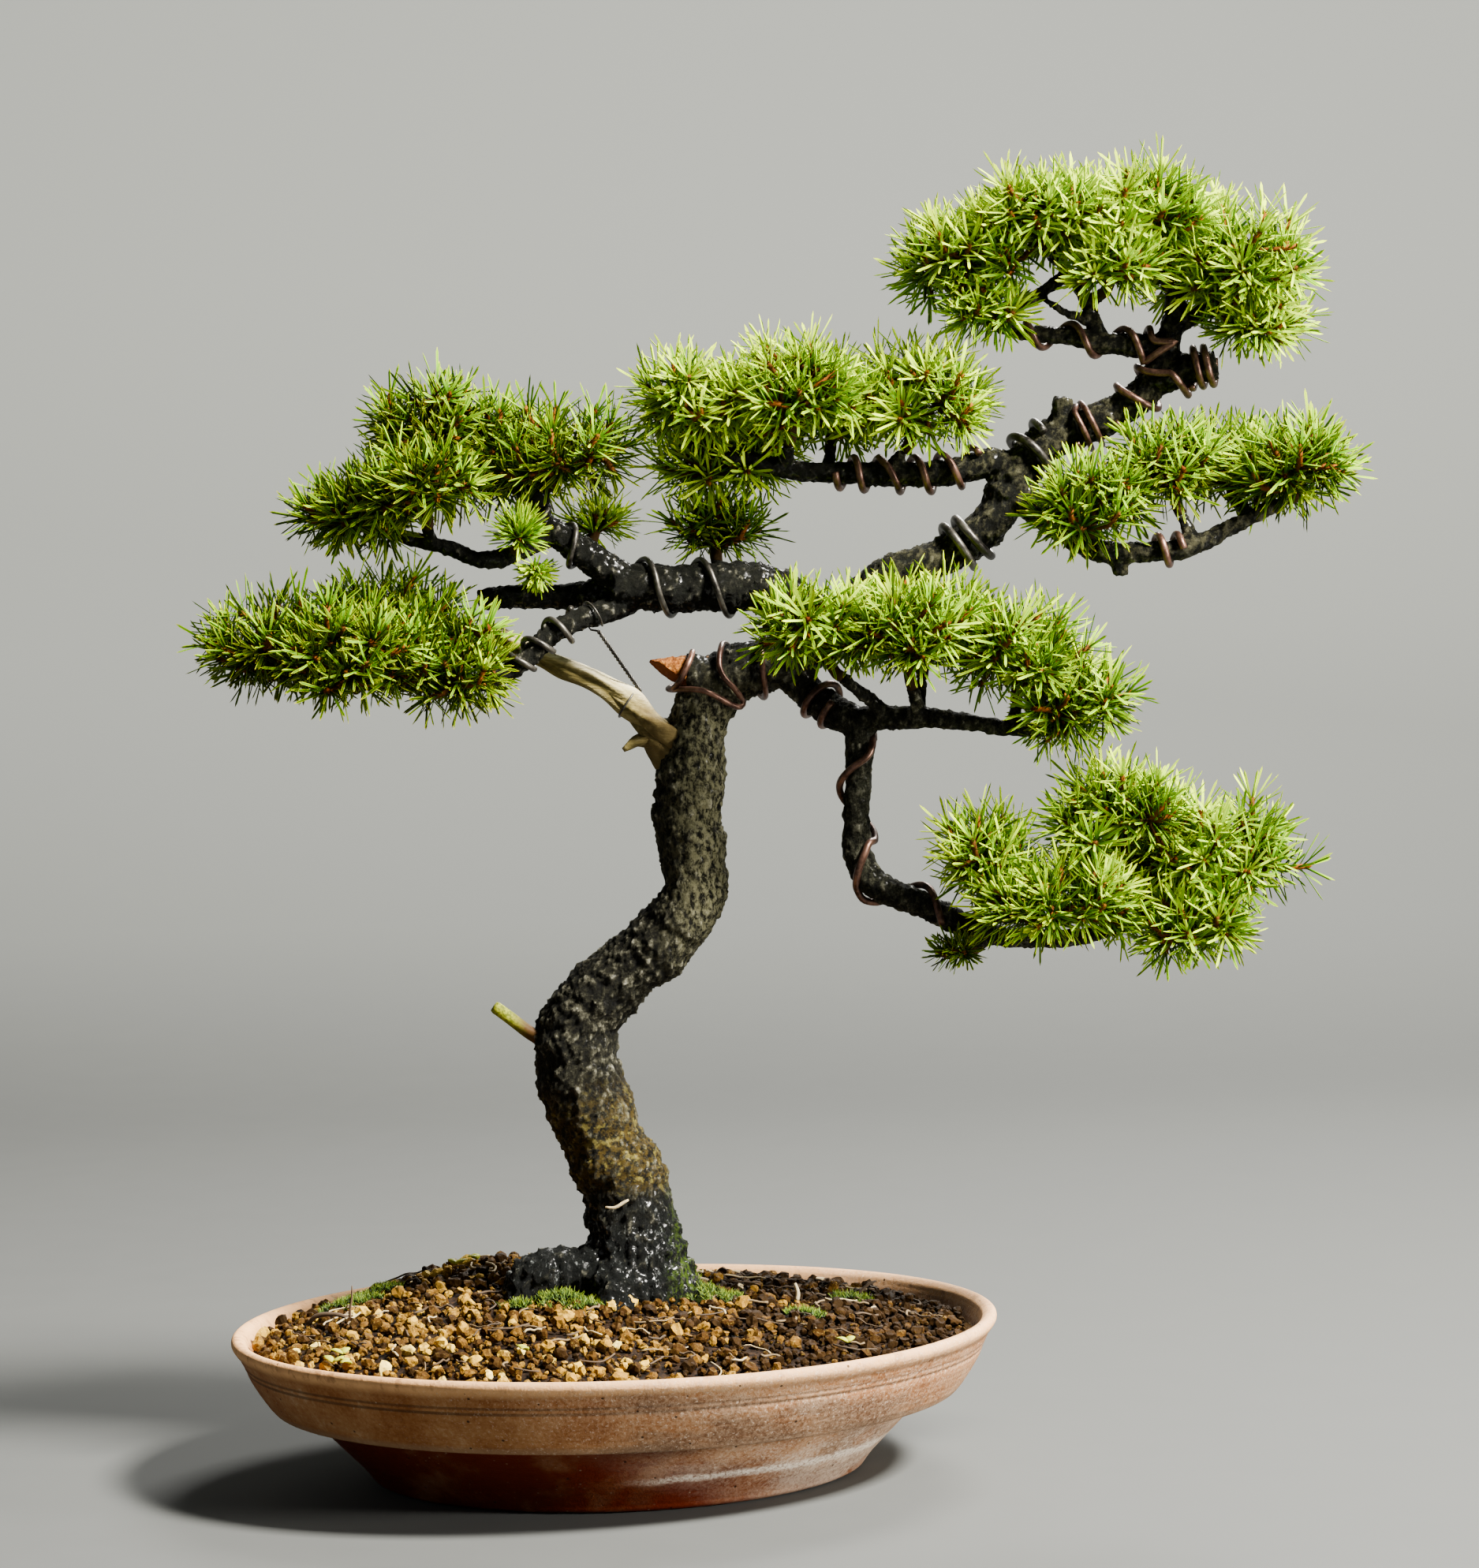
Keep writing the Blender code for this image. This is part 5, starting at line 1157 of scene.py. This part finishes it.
def shootTips(name, small, chance):               # tips all over the lobe, and which way each points
    x, y, z, rx, ry, rz = lobes[name]
    area = 4 * math.pi * rx * (ry + rz) / 2
    count = foliage["smallShoots"] if small else round(area / foliage["areaOfShoot"])
    turn = chance.uniform(0, 2 * math.pi)
    tips = []
    for i in range(count):
        height = 0.97 - 1.84 * (i + 0.5) / count
        flat = math.sqrt(1 - height * height)
        angle = turn + i * golden + chance.uniform(-0.35, 0.35)
        reach = chance.uniform(0.58, 1.20)
        away = Vector((flat * math.cos(angle), flat * math.sin(angle), height))
        inner = (rx - 7, ry - 7, (rz - 6) * (1.0 if height > 0 else 0.82))
        tip = Vector((x, y, z)) + Vector([away[k] * inner[k] * reach for k in range(3)])
        tips.append((tip, pointing(away, chance)))
    return tips


def pointing(away, chance):                       # outward and up, each a little its own way
    aside = Vector((chance.uniform(-1, 1), chance.uniform(-1, 1), chance.uniform(-1, 1)))
    return (away * 0.65 + Vector((0, 0, 0.50 if away.z > -0.3 else 0.10)) + aside * 0.58).normalized()


def bridgeTips(name, others, chance):             # more tips where a lobe meets its neighbours
    x, y, z, rx, ry, rz = lobes[name]
    tips = []
    for other in others:
        ox, oy, oz, orx, ory, orz = lobes[other]
        if math.dist((x, y, z), (ox, oy, oz)) > 0.92 * (rx + orx):
            continue
        middle = Vector((x, y, z)).lerp(Vector((ox, oy, oz)), rx / (rx + orx))
        for _ in range(foliage["bridgeShoots"]):
            turn = chance.uniform(0, anyTurn)
            depth = 0.5 * (ry + ory) * 0.55 * math.cos(turn)
            tall = 0.5 * (rz + orz) * (0.10 + 0.42 * math.sin(turn))
            away = Vector((0, math.cos(turn), 0.2 + math.sin(turn))).normalized()
            tips.append((middle + Vector((chance.uniform(-6, 6), depth, tall)), pointing(away, chance)))
    return tips


def shootLine(root, tip, way):                    # a shoot, which points its own way at its tip
    length = (tip - root).length
    knee = tip - way * length * 0.55
    count = max(2, round(length / 7))
    line = []
    for i in range(count + 1):
        t = i / count
        spot = root * (1 - t) ** 2 + knee * 2 * t * (1 - t) + tip * t * t
        line.append((*spot, foliage["shootRoot"] + (foliage["shootTip"] - foliage["shootRoot"]) * t))
    return np.array(line)


def needleAt(spot, thick, way, angle, lean, length, chance, sun):      # start, way, length, bend and tints
    side = way.cross(Vector((0.3, 0.2, 0.93))).normalized()
    radial = side * math.cos(angle) + way.cross(side) * math.sin(angle)
    out = way * math.cos(lean) + radial * math.sin(lean) + Vector((0, 0, 0.08))
    bend = (way * 0.9 + Vector((0, 0, 0.4))) * chance.uniform(0.2, 2.2)
    return (spot + radial * thick * 0.5, out.normalized(), length, bend, radial, chance.random(), sun)


def needlesOn(line, chance, scale, sun, opening, depthOf):      # one shoot's needles, thickest round its tip
    total = float(lengthsOf(line)[-1])
    leafy = min(total * 0.92, foliage["leafy"])
    count = round(foliage["perMillimetre"] * leafy) + foliage["endNeedles"]
    turn = chance.uniform(0, anyTurn)
    size = foliage["needleLength"] * scale * chance.uniform(0.90, 1.12)
    found = []
    for k in range(count):
        share = (k + 0.5) / count
        spot, thick, way = at(line, total - leafy * share**1.4)
        angle = turn + k * golden + chance.uniform(-0.25, 0.25)
        lean = math.radians(34 + 38 * min(1.0, share * 2.6) + chance.uniform(-11, 11))
        length = size * chance.uniform(0.84, 1.10) * (0.84 + 0.16 * min(1.0, share * 5))
        # painted shade: darker deeper in the lobe, and further back along the shoot where the needles are also
        # older
        light = sun * (1 - 0.45 * share) * (0.30 + 0.70 * depthOf(spot + way * 5))
        found.append(needleAt(spot, thick, way, angle, lean, length, chance, light))
    for k in range(foliage["openNeedles"] if opening else 0):      # the bright needles of an opening bud
        spot, thick, way = at(line, total)
        lean = math.radians(chance.uniform(8, 52))
        length = chance.uniform(3.0, 5.5) * scale
        found.append(needleAt(spot, thick, way, k * golden, lean, length, chance, 1.3))
    return found


def needleMesh(needles, scale, needleRings):      # three-sided needles, all at once
    starts, ways, lengths, bends, radials, chances, suns = (np.array(values) for values in zip(*needles))
    lengths = lengths[:, None]
    aside = np.cross(ways, radials)
    aside /= np.maximum(np.linalg.norm(aside, axis=1), 1e-6)[:, None]
    above = np.cross(aside, ways)
    wide, thick = foliage["needleWidth"] * scale, foliage["needleThick"] * scale
    rings, along = [], []
    for share, size in needleRings:
        centre = starts + ways * lengths * share + bends * share**2
        for across, up in foliage["sides"]:
            rings.append(centre + aside * across * wide * size + above * (up - 0.4) * thick * size)
            along.append(share)
    rings.append(starts + ways * lengths + bends)
    along.append(1.0)
    points = np.stack(rings, axis=1).reshape(-1, 3)
    pattern = []
    for i in range(len(needleRings) - 1):
        for j in range(3):
            k = (j + 1) % 3
            pattern.append([i * 3 + j, i * 3 + k, i * 3 + 3 + k, i * 3 + 3 + j])
    last = (len(needleRings) - 1) * 3
    pattern += [[last + j, last + (j + 1) % 3, last + 3] for j in range(3)] + [[2, 1, 0]]
    each = last + 4
    faces = [[i + n * each for i in face] for n in range(len(needles)) for face in pattern]
    tints = np.empty((len(needles), each, 4), np.float32)
    tints[:, :, 0] = np.array(along)[None, :]
    tints[:, :, 1] = ((chances * 7.13) % 1)[:, None]
    tints[:, :, 2] = suns[:, None]
    tints[:, :, 3] = 1.0
    edge = [side[0] for side in foliage["sides"]] * len(needleRings) + [0.0]
    return points, faces, tints.reshape(-1, 4), np.tile(edge, len(needles))


def needleFinish():                               # tint holds the place along the needle, a chance and the sun, a painted light and shade on each needle
    leaf = Finish("needles", Specular_IOR_Level=0.03, Specular_Tint=(1.0, 0.92, 0.03))
    tint = leaf.own("tint", "Color")
    along, chance, sun = (leaf.parts(tint, axis) for axis in "XYZ")
    edge = leaf.math("ABSOLUTE", leaf.own("edge"), 0) ** 1.6
    # fresh is mostly the painted sun: painted light and shade, with a little tone at random
    fresh = sun * 0.80 + chance * 0.26 + leaf.cloud(17, 2, 0.5) * 0.22 - 0.08
    colour = leaf.layers(leaf.ramp(fresh, foliage["body"]), foliage, {
        # needles darker towards their roots: painted shade inside the shoots
        "painted_root_shade": (1 - leaf.between(along, 0.05, 0.60)) * 0.74,
        # pale edges: partly the needle's paler edges, partly a painted highlight that grows with the painted
        # sun
        "pale": edge * leaf.between(along, 0.10, 0.8) * (0.20 + 0.66 * fresh),
        "root": (1 - leaf.between(along, 0.02, 0.14)) * 0.55,
        "tip": leaf.between(along, 0.88, 1.0) * 0.50,
    })
    return leaf.finishWith(colour, 0.46 + 0.15 * chance, leaf.cloud(0.7, 2), 0.05, 0.4)


def shootFinish():
    twig = Finish("young_shoots", Specular_IOR_Level=0.06, Specular_Tint=(1.0, 0.55, 0.20))
    fine = twig.cloud(0.9, 4, 0.7)
    old, new = (twig.mix(*foliage[name], fine) for name in ("oldBark", "newBark"))
    return twig.finishWith(twig.mix(old, new, twig.own("young")), 0.7 + 0.1 * fine, fine, 0.3, 0.9)


def budFinish():
    bud = Finish("buds", Specular_IOR_Level=0.06, Specular_Tint=(1.0, 0.55, 0.20))
    fine = bud.cloud(0.7, 4, 0.7)
    colour = bud.ramp(bud.own("fresh") * 0.6 + fine * 0.4, foliage["bud"])
    return bud.finishWith(colour, 0.55 + 0.2 * fine, bud.cells(0.9), 0.25, 0.9)


def shootsOf(tips, fork, knee):                   # the first shoots leave the stem, the others leave those
    early = set(range(0, len(tips), max(1, len(tips) // foliage["mothers"])))
    shoots = []
    for i in sorted(range(len(tips)), key=lambda i: i not in early):
        tip, way = tips[i]
        if i in early:
            root = fork.lerp(knee, 0.1 + 0.7 * i / len(tips))
        else:
            spots = [at(line, 0.6 * float(lengthsOf(line)[-1]))[0] for line, _, _ in shoots[: len(early)]]
            root = min(spots, key=lambda spot: (spot - tip).length)
        shoots.append((shootLine(root, tip, way), tip, way))
    return shoots


def growLobe(name, pad, stem, hardRods, allShoots, allBuds):           # the needles of one leafy stem
    number = list(lobes).index(name)
    chance = random.Random(100 + number)
    x, y, z, rx, ry, rz = lobes[name]
    small = min(rx, ry, rz) <= 12 or rx <= 16
    scale = 0.55 if name in ("tuft_low", "tuft_stub") else 0.85 if small else 1.0
    start, knee, fork = stem
    stemTip = foliage["stemTip"]
    stemLine = smooth([(*start, foliage["twigTip"]), (*knee, foliage["twigTip"]), (*fork, stemTip)], 2.5)
    allShoots.append((stemLine, 8, 0.1))

    def depthOf(spot):                            # 0 deep in the lobe, 1 at its outside, for the painted shade inside the lobe
        out = math.sqrt(((spot.x - x) / rx) ** 2 + ((spot.y - y) / ry) ** 2 + ((spot.z - z) / rz) ** 2)
        return min(1.0, max(0.0, (out - 0.30) / 0.50)) if not small else 1.0

    tips = shootTips(name, small, chance)
    tips += bridgeTips(name, [other for other in list(lobes)[number + 1 :] if other.startswith(pad)], chance)
    found = []
    for line, tip, way in shootsOf(tips, fork, knee):
        fresh = chance.random() < foliage["freshShoots"]
        opening = fresh and chance.random() < foliage["openBuds"]
        allShoots.append((line, 5, 0.9 if fresh else 0.4))
        tall = (tip.z - z) / rz
        # sun: the pad's tone and painted light, with the tops of the lobes painted lighter
        sun = freshness_and_sun.get(name, freshness_and_sun.get(pad, 0.5)) + 0.36 * tall + chance.uniform(-0.16, 0.16)
        found += needlesOn(line, chance, scale, min(1.1, max(0.05, sun)), opening, depthOf)
        if fresh:
            allBuds.append((tip, way, scale * chance.uniform(0.75, 1.20), chance.random()))
    keep = clearOf(np.array([n[0] + n[1] * n[2] for n in found]), hardRods, 0.2)
    return [n for n, good in zip(found, keep) if good], max(scale, 0.8)


def growPads(stems, hardRods):
    look = needleFinish()
    allShoots, allBuds = [], []
    total = 0
    for pad in sorted(carriers):
        meshes = []
        for name in [lobe for lobe in lobes if lobe.startswith(pad)]:
            found, scale = growLobe(name, pad, stems[name], hardRods, allShoots, allBuds)
            total += len(found)
            curved = [n for n in found if n[5] < foliage["curved"]]
            straight = [n for n in found if n[5] >= foliage["curved"]]
            meshes.append(needleMesh(curved, scale, foliage["curvedRings"]))
            meshes.append(needleMesh(straight, scale, foliage["straightRings"]))
        points, faces = gather([mesh[:2] for mesh in meshes])
        stands = [lobe for lobe in lobes if lobe.startswith(pad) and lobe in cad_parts]
        made = pieceOf("needles_" + pad, points, faces, look, stands, soft=False)
        tints = np.vstack([mesh[2] for mesh in meshes])
        made.data.attributes.new("tint", "FLOAT_COLOR", "POINT").data.foreach_set("color", tints.ravel())
        store(made.data, "edge", np.concatenate([mesh[3] for mesh in meshes]))
    shootPiece(allShoots)
    budPiece(allBuds)
    print("foliage:", total, "needles on", len(allShoots) - len(lobes), "shoots")


def clearOf(points, rods, gap):                   # True for each point that lies outside all the rods
    good = np.ones(len(points), bool)
    for rod in rods:
        a, way = rod[:3], rod[3:6] - rod[:3]
        t = np.clip((points - a) @ way / (way @ way + 1e-9), 0, 1)
        good &= np.linalg.norm(points - a - t[:, None] * way, axis=1) > rod[6] + (rod[7] - rod[6]) * t + gap
    return good


def shootPiece(shoots):
    young = []
    for line, sides, age in shoots:
        for i in range(len(line)):
            young.extend([age * min(1.0, 1.6 * i / (len(line) - 1))] * sides)
    points, faces = gather([tube(line, sides) for line, sides, _ in shoots])
    made = pieceOf("young_shoots", points, faces, shootFinish())
    store(made.data, "young", np.clip(young, 0, 1))


def budPiece(buds):
    parts, fresh = [], []
    for tip, way, size, chance in buds:
        line = []
        for height, radius in foliage["budProfile"]:
            line.append((*(tip + way * (height - 1.3) * size), radius * size))
        parts.append(tube(line, 5))
        fresh.extend([chance] * len(parts[-1][0]))
    points, faces = gather(parts)
    made = pieceOf("buds", points, faces, budFinish())
    store(made.data, "fresh", fresh)


# on the soil: moss, fallen twigs, chips and small leaves
moss = {
    "patches": [                                  # place, half sizes and rise of each cushion
        (-19, -22, 9, 6.5, 4.6), (-9, -26, 7, 4, 1.5), (33, -8, 7, 7, 4.5), (41, -12, 6, 5, 2.5),
        (-98, 20, 9, 6, 3.0), (28, 3, 4, 6, 9.0), (-88, 28, 7, 5, 3.0), (-34, -24, 5, 4, 2.0),
        (70, -30, 6, 4, 1.5), (88, 12, 8, 4, 2.0),
    ],
    "thick": 20, "spread": 1.35, "edge": 3.6, "bladeFoot": 0.27, "third": 2.094, "tall": (1.2, 3.4),
    "blades": [(0.1, (0.0058, 0.014, 0.0016)), (0.5, (0.046, 0.095, 0.0031)), (0.9, (0.300, 0.375, 0.0050))],
}
litter = {
    "count": 150, "reach": 118, "trunkFoot": 30, "insidePot": 127, "points": 6, "above": 2.2,
    "shades": (0.1, 0.25, 0.5, 0.9), "step": 1.6, "sides": 5, "chipStep": 1.2, "chipSides": 8,
    "chips": [                                    # points with a radius, and how pale each chip is
        ([(-112, -6, 56.5, 0.9), (-108, -8, 60, 0.9), (-101, -10, 60.5, 0.8), (-95, -11, 58.5, 0.7)], 0.12),
        ([(-95, -16, 56, 0.55), (-95.5, -17, 62, 0.5), (-94.5, -18, 68, 0.35), (-94.3, -18, 72, 0.25)], 0.35),
        ([(67, -2, 59, 0.9), (67.5, -2, 62, 0.8), (66.6, -2, 65.5, 0.5)], 1.0),
        ([(90, 22, 57, 0.7), (94, 23, 60.5, 0.6), (97, 24, 61.5, 0.4)], 0.1),
        ([(-1.5, -17.0, 97.6, 0.35), (2, -17.3, 97.4, 0.55), (5, -17.0, 99, 0.6), (7, -16.6, 100, 0.35)], 0.92),
    ],
    "tones": [
        (0.0, (0.014, 0.010, 0.0056)), (0.45, (0.072, 0.042, 0.019)), (0.75, (0.302, 0.210, 0.093)),
        (1.0, (0.504, 0.420, 0.248)),
    ],
}
smallLeaves = {
    "places": [                                   # place, turn and size of each pair
        (-97, -78, 0.4, 6.5), (-90, -84, 2.4, 5.5), (-94, -70, 1.2, 5), (-60, 40, 0.5, 5), (-52, 44, 2.0, 4),
        (84, -72, 1.1, 4.5), (-28, -92, 2.6, 4.5),
    ],
    "points": 6, "fan": 1.7, "above": 2.4, "arch": 1.6, "thin": 0.25, "wide": 1.5, "sides": 8, "flat": 0.28,
    "dark": (0.158, 0.231, 0.0074), "pale": (0.475, 0.434, 0.019),
}
screens = {"dark": (0.012, 0.012, 0.012), "pale": (0.04, 0.04, 0.04)}


def mossFinish():
    green = Finish("moss", Specular_IOR_Level=0.3)
    tint = green.own("chance")
    colour = green.ramp(green.own("along") * 0.55 + tint * 0.4, moss["blades"])
    return green.finishWith(colour, 0.6 + 0.1 * tint, green.cloud(0.6, 2), 0.1, 0.5)


def makeMoss():
    chance = random.Random(77)
    points, faces, tints = [], [], []
    for x, y, wide, deep, rise in moss["patches"]:
        for _ in range(int(wide * deep * moss["thick"])):
            angle, reach = chance.uniform(0, anyTurn), math.sqrt(chance.random())
            px = x + moss["spread"] * wide * reach * math.cos(angle)
            py = y + moss["spread"] * deep * reach * math.sin(angle)
            if noise.noise(Vector((px, py, 0)) / moss["edge"]) + 0.55 - 0.8 * reach < 0.0:
                continue
            ground = soilHeight(px, py) + rise * (1 - reach * reach) * chance.uniform(0.6, 1.0) + 0.6
            way = Vector((chance.gauss(0, 0.6), chance.gauss(0, 0.6), 1)).normalized()
            tall = chance.uniform(*moss["tall"])
            side = way.cross(Vector((chance.uniform(-1, 1), chance.uniform(-1, 1), 0.1))).normalized()
            other = way.cross(side)
            base = Vector((px, py, ground))
            first = len(points)
            for k in range(3):
                spoke = side * math.cos(moss["third"] * k) + other * math.sin(moss["third"] * k)
                points.append(base + spoke * moss["bladeFoot"])
            points.append(base + way * tall)
            faces += [[first + i for i in face] for face in ((0, 1, 3), (1, 2, 3), (2, 0, 3), (2, 1, 0))]
            tints += [chance.random()] * 4
    made = pieceOf("moss", points, faces, mossFinish(), soft=False)
    store(made.data, "along", [0.0, 0.0, 0.0, 1.0] * (len(points) // 4))
    store(made.data, "chance", tints)
    print("moss:", len(points) // 4, "blades")


def litterFinish():
    dry = Finish("litter", Specular_IOR_Level=0.3)
    fine = dry.cloud(1.0, 4, 0.7)
    colour = dry.ramp(dry.own("chance") * 0.8 + fine * 0.25, litter["tones"])
    return dry.finishWith(colour, 0.75 + 0.1 * fine, fine, 0.2, 0.8)


def rootlet(chance):                              # a line on the soil, or None where there is no room
    reach, angle = litter["reach"] * math.sqrt(chance.random()), chance.uniform(0, anyTurn)
    if reach < litter["trunkFoot"]:
        return None
    x, y, turn = reach * math.cos(angle), reach * math.sin(angle), chance.uniform(0, anyTurn)
    length, curl, thick = chance.uniform(5, 17), chance.uniform(-1.2, 1.2), chance.uniform(0.22, 0.5)
    last = litter["points"] - 1
    line = []
    for i in range(litter["points"]):
        heading = turn + curl * i / last
        px, py = x + length * i / last * math.cos(heading), y + length * i / last * math.sin(heading)
        if math.hypot(px, py) > litter["insidePot"]:
            break
        line.append((px, py, soilHeight(px, py) + litter["above"] + chance.uniform(-0.5, 0.7), thick))
    return line if len(line) > 3 else None


def makeLitter():                                 # rootlets and needles that fell, and the chips
    chance = random.Random(31)
    parts, tints = [], []
    for _ in range(litter["count"]):
        line = rootlet(chance)
        if line:
            parts.append(tube(smooth(line, litter["step"]), litter["sides"]))
            tints.extend([chance.choice(litter["shades"])] * len(parts[-1][0]))
    for line, shade in litter["chips"]:
        parts.append(tube(smooth(line, litter["chipStep"]), litter["chipSides"]))
        tints.extend([shade] * len(parts[-1][0]))
    points, faces = gather(parts)
    made = pieceOf("litter", points, faces, litterFinish())
    store(made.data, "chance", tints)
    print("litter:", len(parts), "scraps")


def leafFinish():
    leaf = Finish("small_leaves", Specular_IOR_Level=0.2)
    tint = leaf.cloud(4, 3)
    colour = leaf.mix(smallLeaves["dark"], smallLeaves["pale"], tint)
    return leaf.finishWith(colour, 0.45 + 0.1 * tint, leaf.cloud(0.8, 2), 0.1, 0.5)


def makeSmallLeaves():
    sides, last = smallLeaves["sides"], smallLeaves["points"] - 1
    parts = []
    for x, y, turn, size in smallLeaves["places"]:
        for fan in (0, 1):
            angle = turn + fan * smallLeaves["fan"]
            line = []
            for i in range(smallLeaves["points"]):
                t = i / last
                height = soilHeight(x, y) + smallLeaves["above"] + smallLeaves["arch"] * math.sin(t * 2.2)
                wide = smallLeaves["thin"] + smallLeaves["wide"] * math.sin(math.pi * min(0.93, t + 0.05))
                line.append((x + size * t * math.cos(angle), y + size * t * math.sin(angle), height, wide))
            points, faces = tube(line, sides)
            centre = np.array(line)[:, :3].repeat(sides, axis=0)
            points[:, 2] = centre[:, 2] + (points[:, 2] - centre[:, 2]) * smallLeaves["flat"]
            parts.append((points, faces))
    points, faces = gather(parts)
    pieceOf("small_leaves", points, faces, leafFinish())
    print("small leaves:", len(parts))


def dressScreens():
    plastic = Finish("screen_mesh", Specular_IOR_Level=0.4)
    fine = plastic.cloud(1.0, 3)
    colour = plastic.mix(screens["dark"], screens["pale"], fine)
    plastic.finishWith(colour, 0.55 + 0.2 * fine, fine, 0.1, 0.6)
    for name in ("drain_screen_left", "drain_screen_right"):
        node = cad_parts[name]
        node.data.materials.clear()
        node.data.materials.append(plastic.material)


# studio
studio = {
    "camera": (0.052, -1.763, 0.328), "aim": (0.052, 0.0, 0.249), "roll": -1.8, "lens": 111.0, "sensor": 36,
    "lit": (0.05, 0, 0.25), "world": (0.62, 0.65, 0.68, 1.0), "worldStrength": 0.12,
    "lamps": [                                    # name, place, size, power and colour
        ("key", (1.25, -0.66, 1.62), 0.38, 395.0, (1.0, 0.96, 0.88)),
        ("back", (0.55, 1.25, 1.35), 0.6, 62.0, (1.0, 0.98, 0.93)),
        ("side", (1.75, -0.80, 0.40), 0.3, 62.0, (1.0, 0.96, 0.88)),
        ("fill", (-1.6, -1.6, 0.8), 1.6, 2.6, (0.95, 0.97, 1.0)),
    ],
    "sweep": [(-4.0, 0.0), (1.4, 0.0), (2.0, 0.06), (2.45, 0.28), (2.72, 0.62), (2.85, 1.1), (2.9, 4.5)],
    "sweepWide": 6.0, "sweepDrop": 0.0004, "dim": ((0.051, 0.054, 0.052), (0.058, 0.061, 0.059)),
    "far": (0.356, 0.374, 0.360),
}


def turnedTo(spot, aim):
    return (Vector(aim) - Vector(spot)).to_track_quat("-Z", "Y")


def makeCamera():
    camera = bpy.data.objects.new("camera", bpy.data.cameras.new("camera"))
    bpy.context.scene.collection.objects.link(camera)
    camera.location = studio["camera"]
    roll = Matrix.Rotation(math.radians(studio["roll"]), 3, "Z")
    camera.rotation_euler = (turnedTo(studio["camera"], studio["aim"]).to_matrix() @ roll).to_euler()
    camera.data.sensor_fit = "VERTICAL"
    camera.data.sensor_height = studio["sensor"]
    camera.data.lens = studio["lens"]
    bpy.context.scene.camera = camera


def makeLight():
    for name, spot, size, power, colour in studio["lamps"]:
        lamp = bpy.data.objects.new(name, bpy.data.lights.new(name, "AREA"))
        bpy.context.scene.collection.objects.link(lamp)
        lamp.location = spot
        lamp.rotation_euler = turnedTo(spot, studio["lit"]).to_euler()
        lamp.data.size = size
        lamp.data.energy = power
        lamp.data.color = colour
    world = bpy.data.worlds.new("studio")
    bpy.context.scene.world = world
    world.use_nodes = True
    world.node_tree.nodes["Background"].inputs["Color"].default_value = studio["world"]
    world.node_tree.nodes["Background"].inputs["Strength"].default_value = studio["worldStrength"]


def makeSweep():                                  # the grey ground, which bends up far behind the tree
    floor = Finish("studio_floor")
    grain = floor.cloud(30, 3)
    # the ground is darker near the lamps and paler far back: painted shade and light that even out the lamps'
    # fall-off
    pale = floor.between(floor.parts(floor.place, "Y"), 1.1, 3.1)
    colour = floor.mix(floor.mix(*studio["dim"], grain), studio["far"], pale)
    floor.feed(floor.shader, {"Base Color": colour, "Roughness": 0.85 + 0.05 * grain})
    points, faces = [], []
    for y, z in studio["sweep"]:
        points += [(side * studio["sweepWide"], y, z - studio["sweepDrop"]) for side in (-1, 1)]
    for i in range(0, len(points) - 2, 2):
        faces.append([i, i + 1, i + 3, i + 2])
    mesh = bpy.data.meshes.new("sweep")
    mesh.from_pydata(points, [], faces)
    mesh.shade_smooth()
    mesh.materials.append(floor.material)
    sweep = bpy.data.objects.new("sweep", mesh)
    bpy.context.scene.collection.objects.link(sweep)


# build
lines = woodLines()
woodRods = np.vstack([rodsOf(line) for line in lines.values()])
coarseWires = layWires(lines, woodRods, wires["coarsePoints"], wires["coarseGap"])
coarseRods = np.vstack([rodsOf(line) for line in coarseWires.values()])
twigs, stems = {}, {}
hard = np.vstack([woodRods, coarseRods])
for name in lobes:
    twigs[name], stems[name] = twigAndStem(name, lines, hard, coarseRods)
    hard = np.vstack([hard, rodsOf(twigs[name])])
print("twigs:", len(twigs))
makeCamera()
makeLight()
makeSweep()
makePot()
makeSoil()
makeWood(twigs)
makeDeadwood()
makeCutStub()
makeGreenStub()
makeWires(lines, woodRods)
growPads(stems, hard)
makeMoss()
makeLitter()
makeSmallLeaves()
dressScreens()
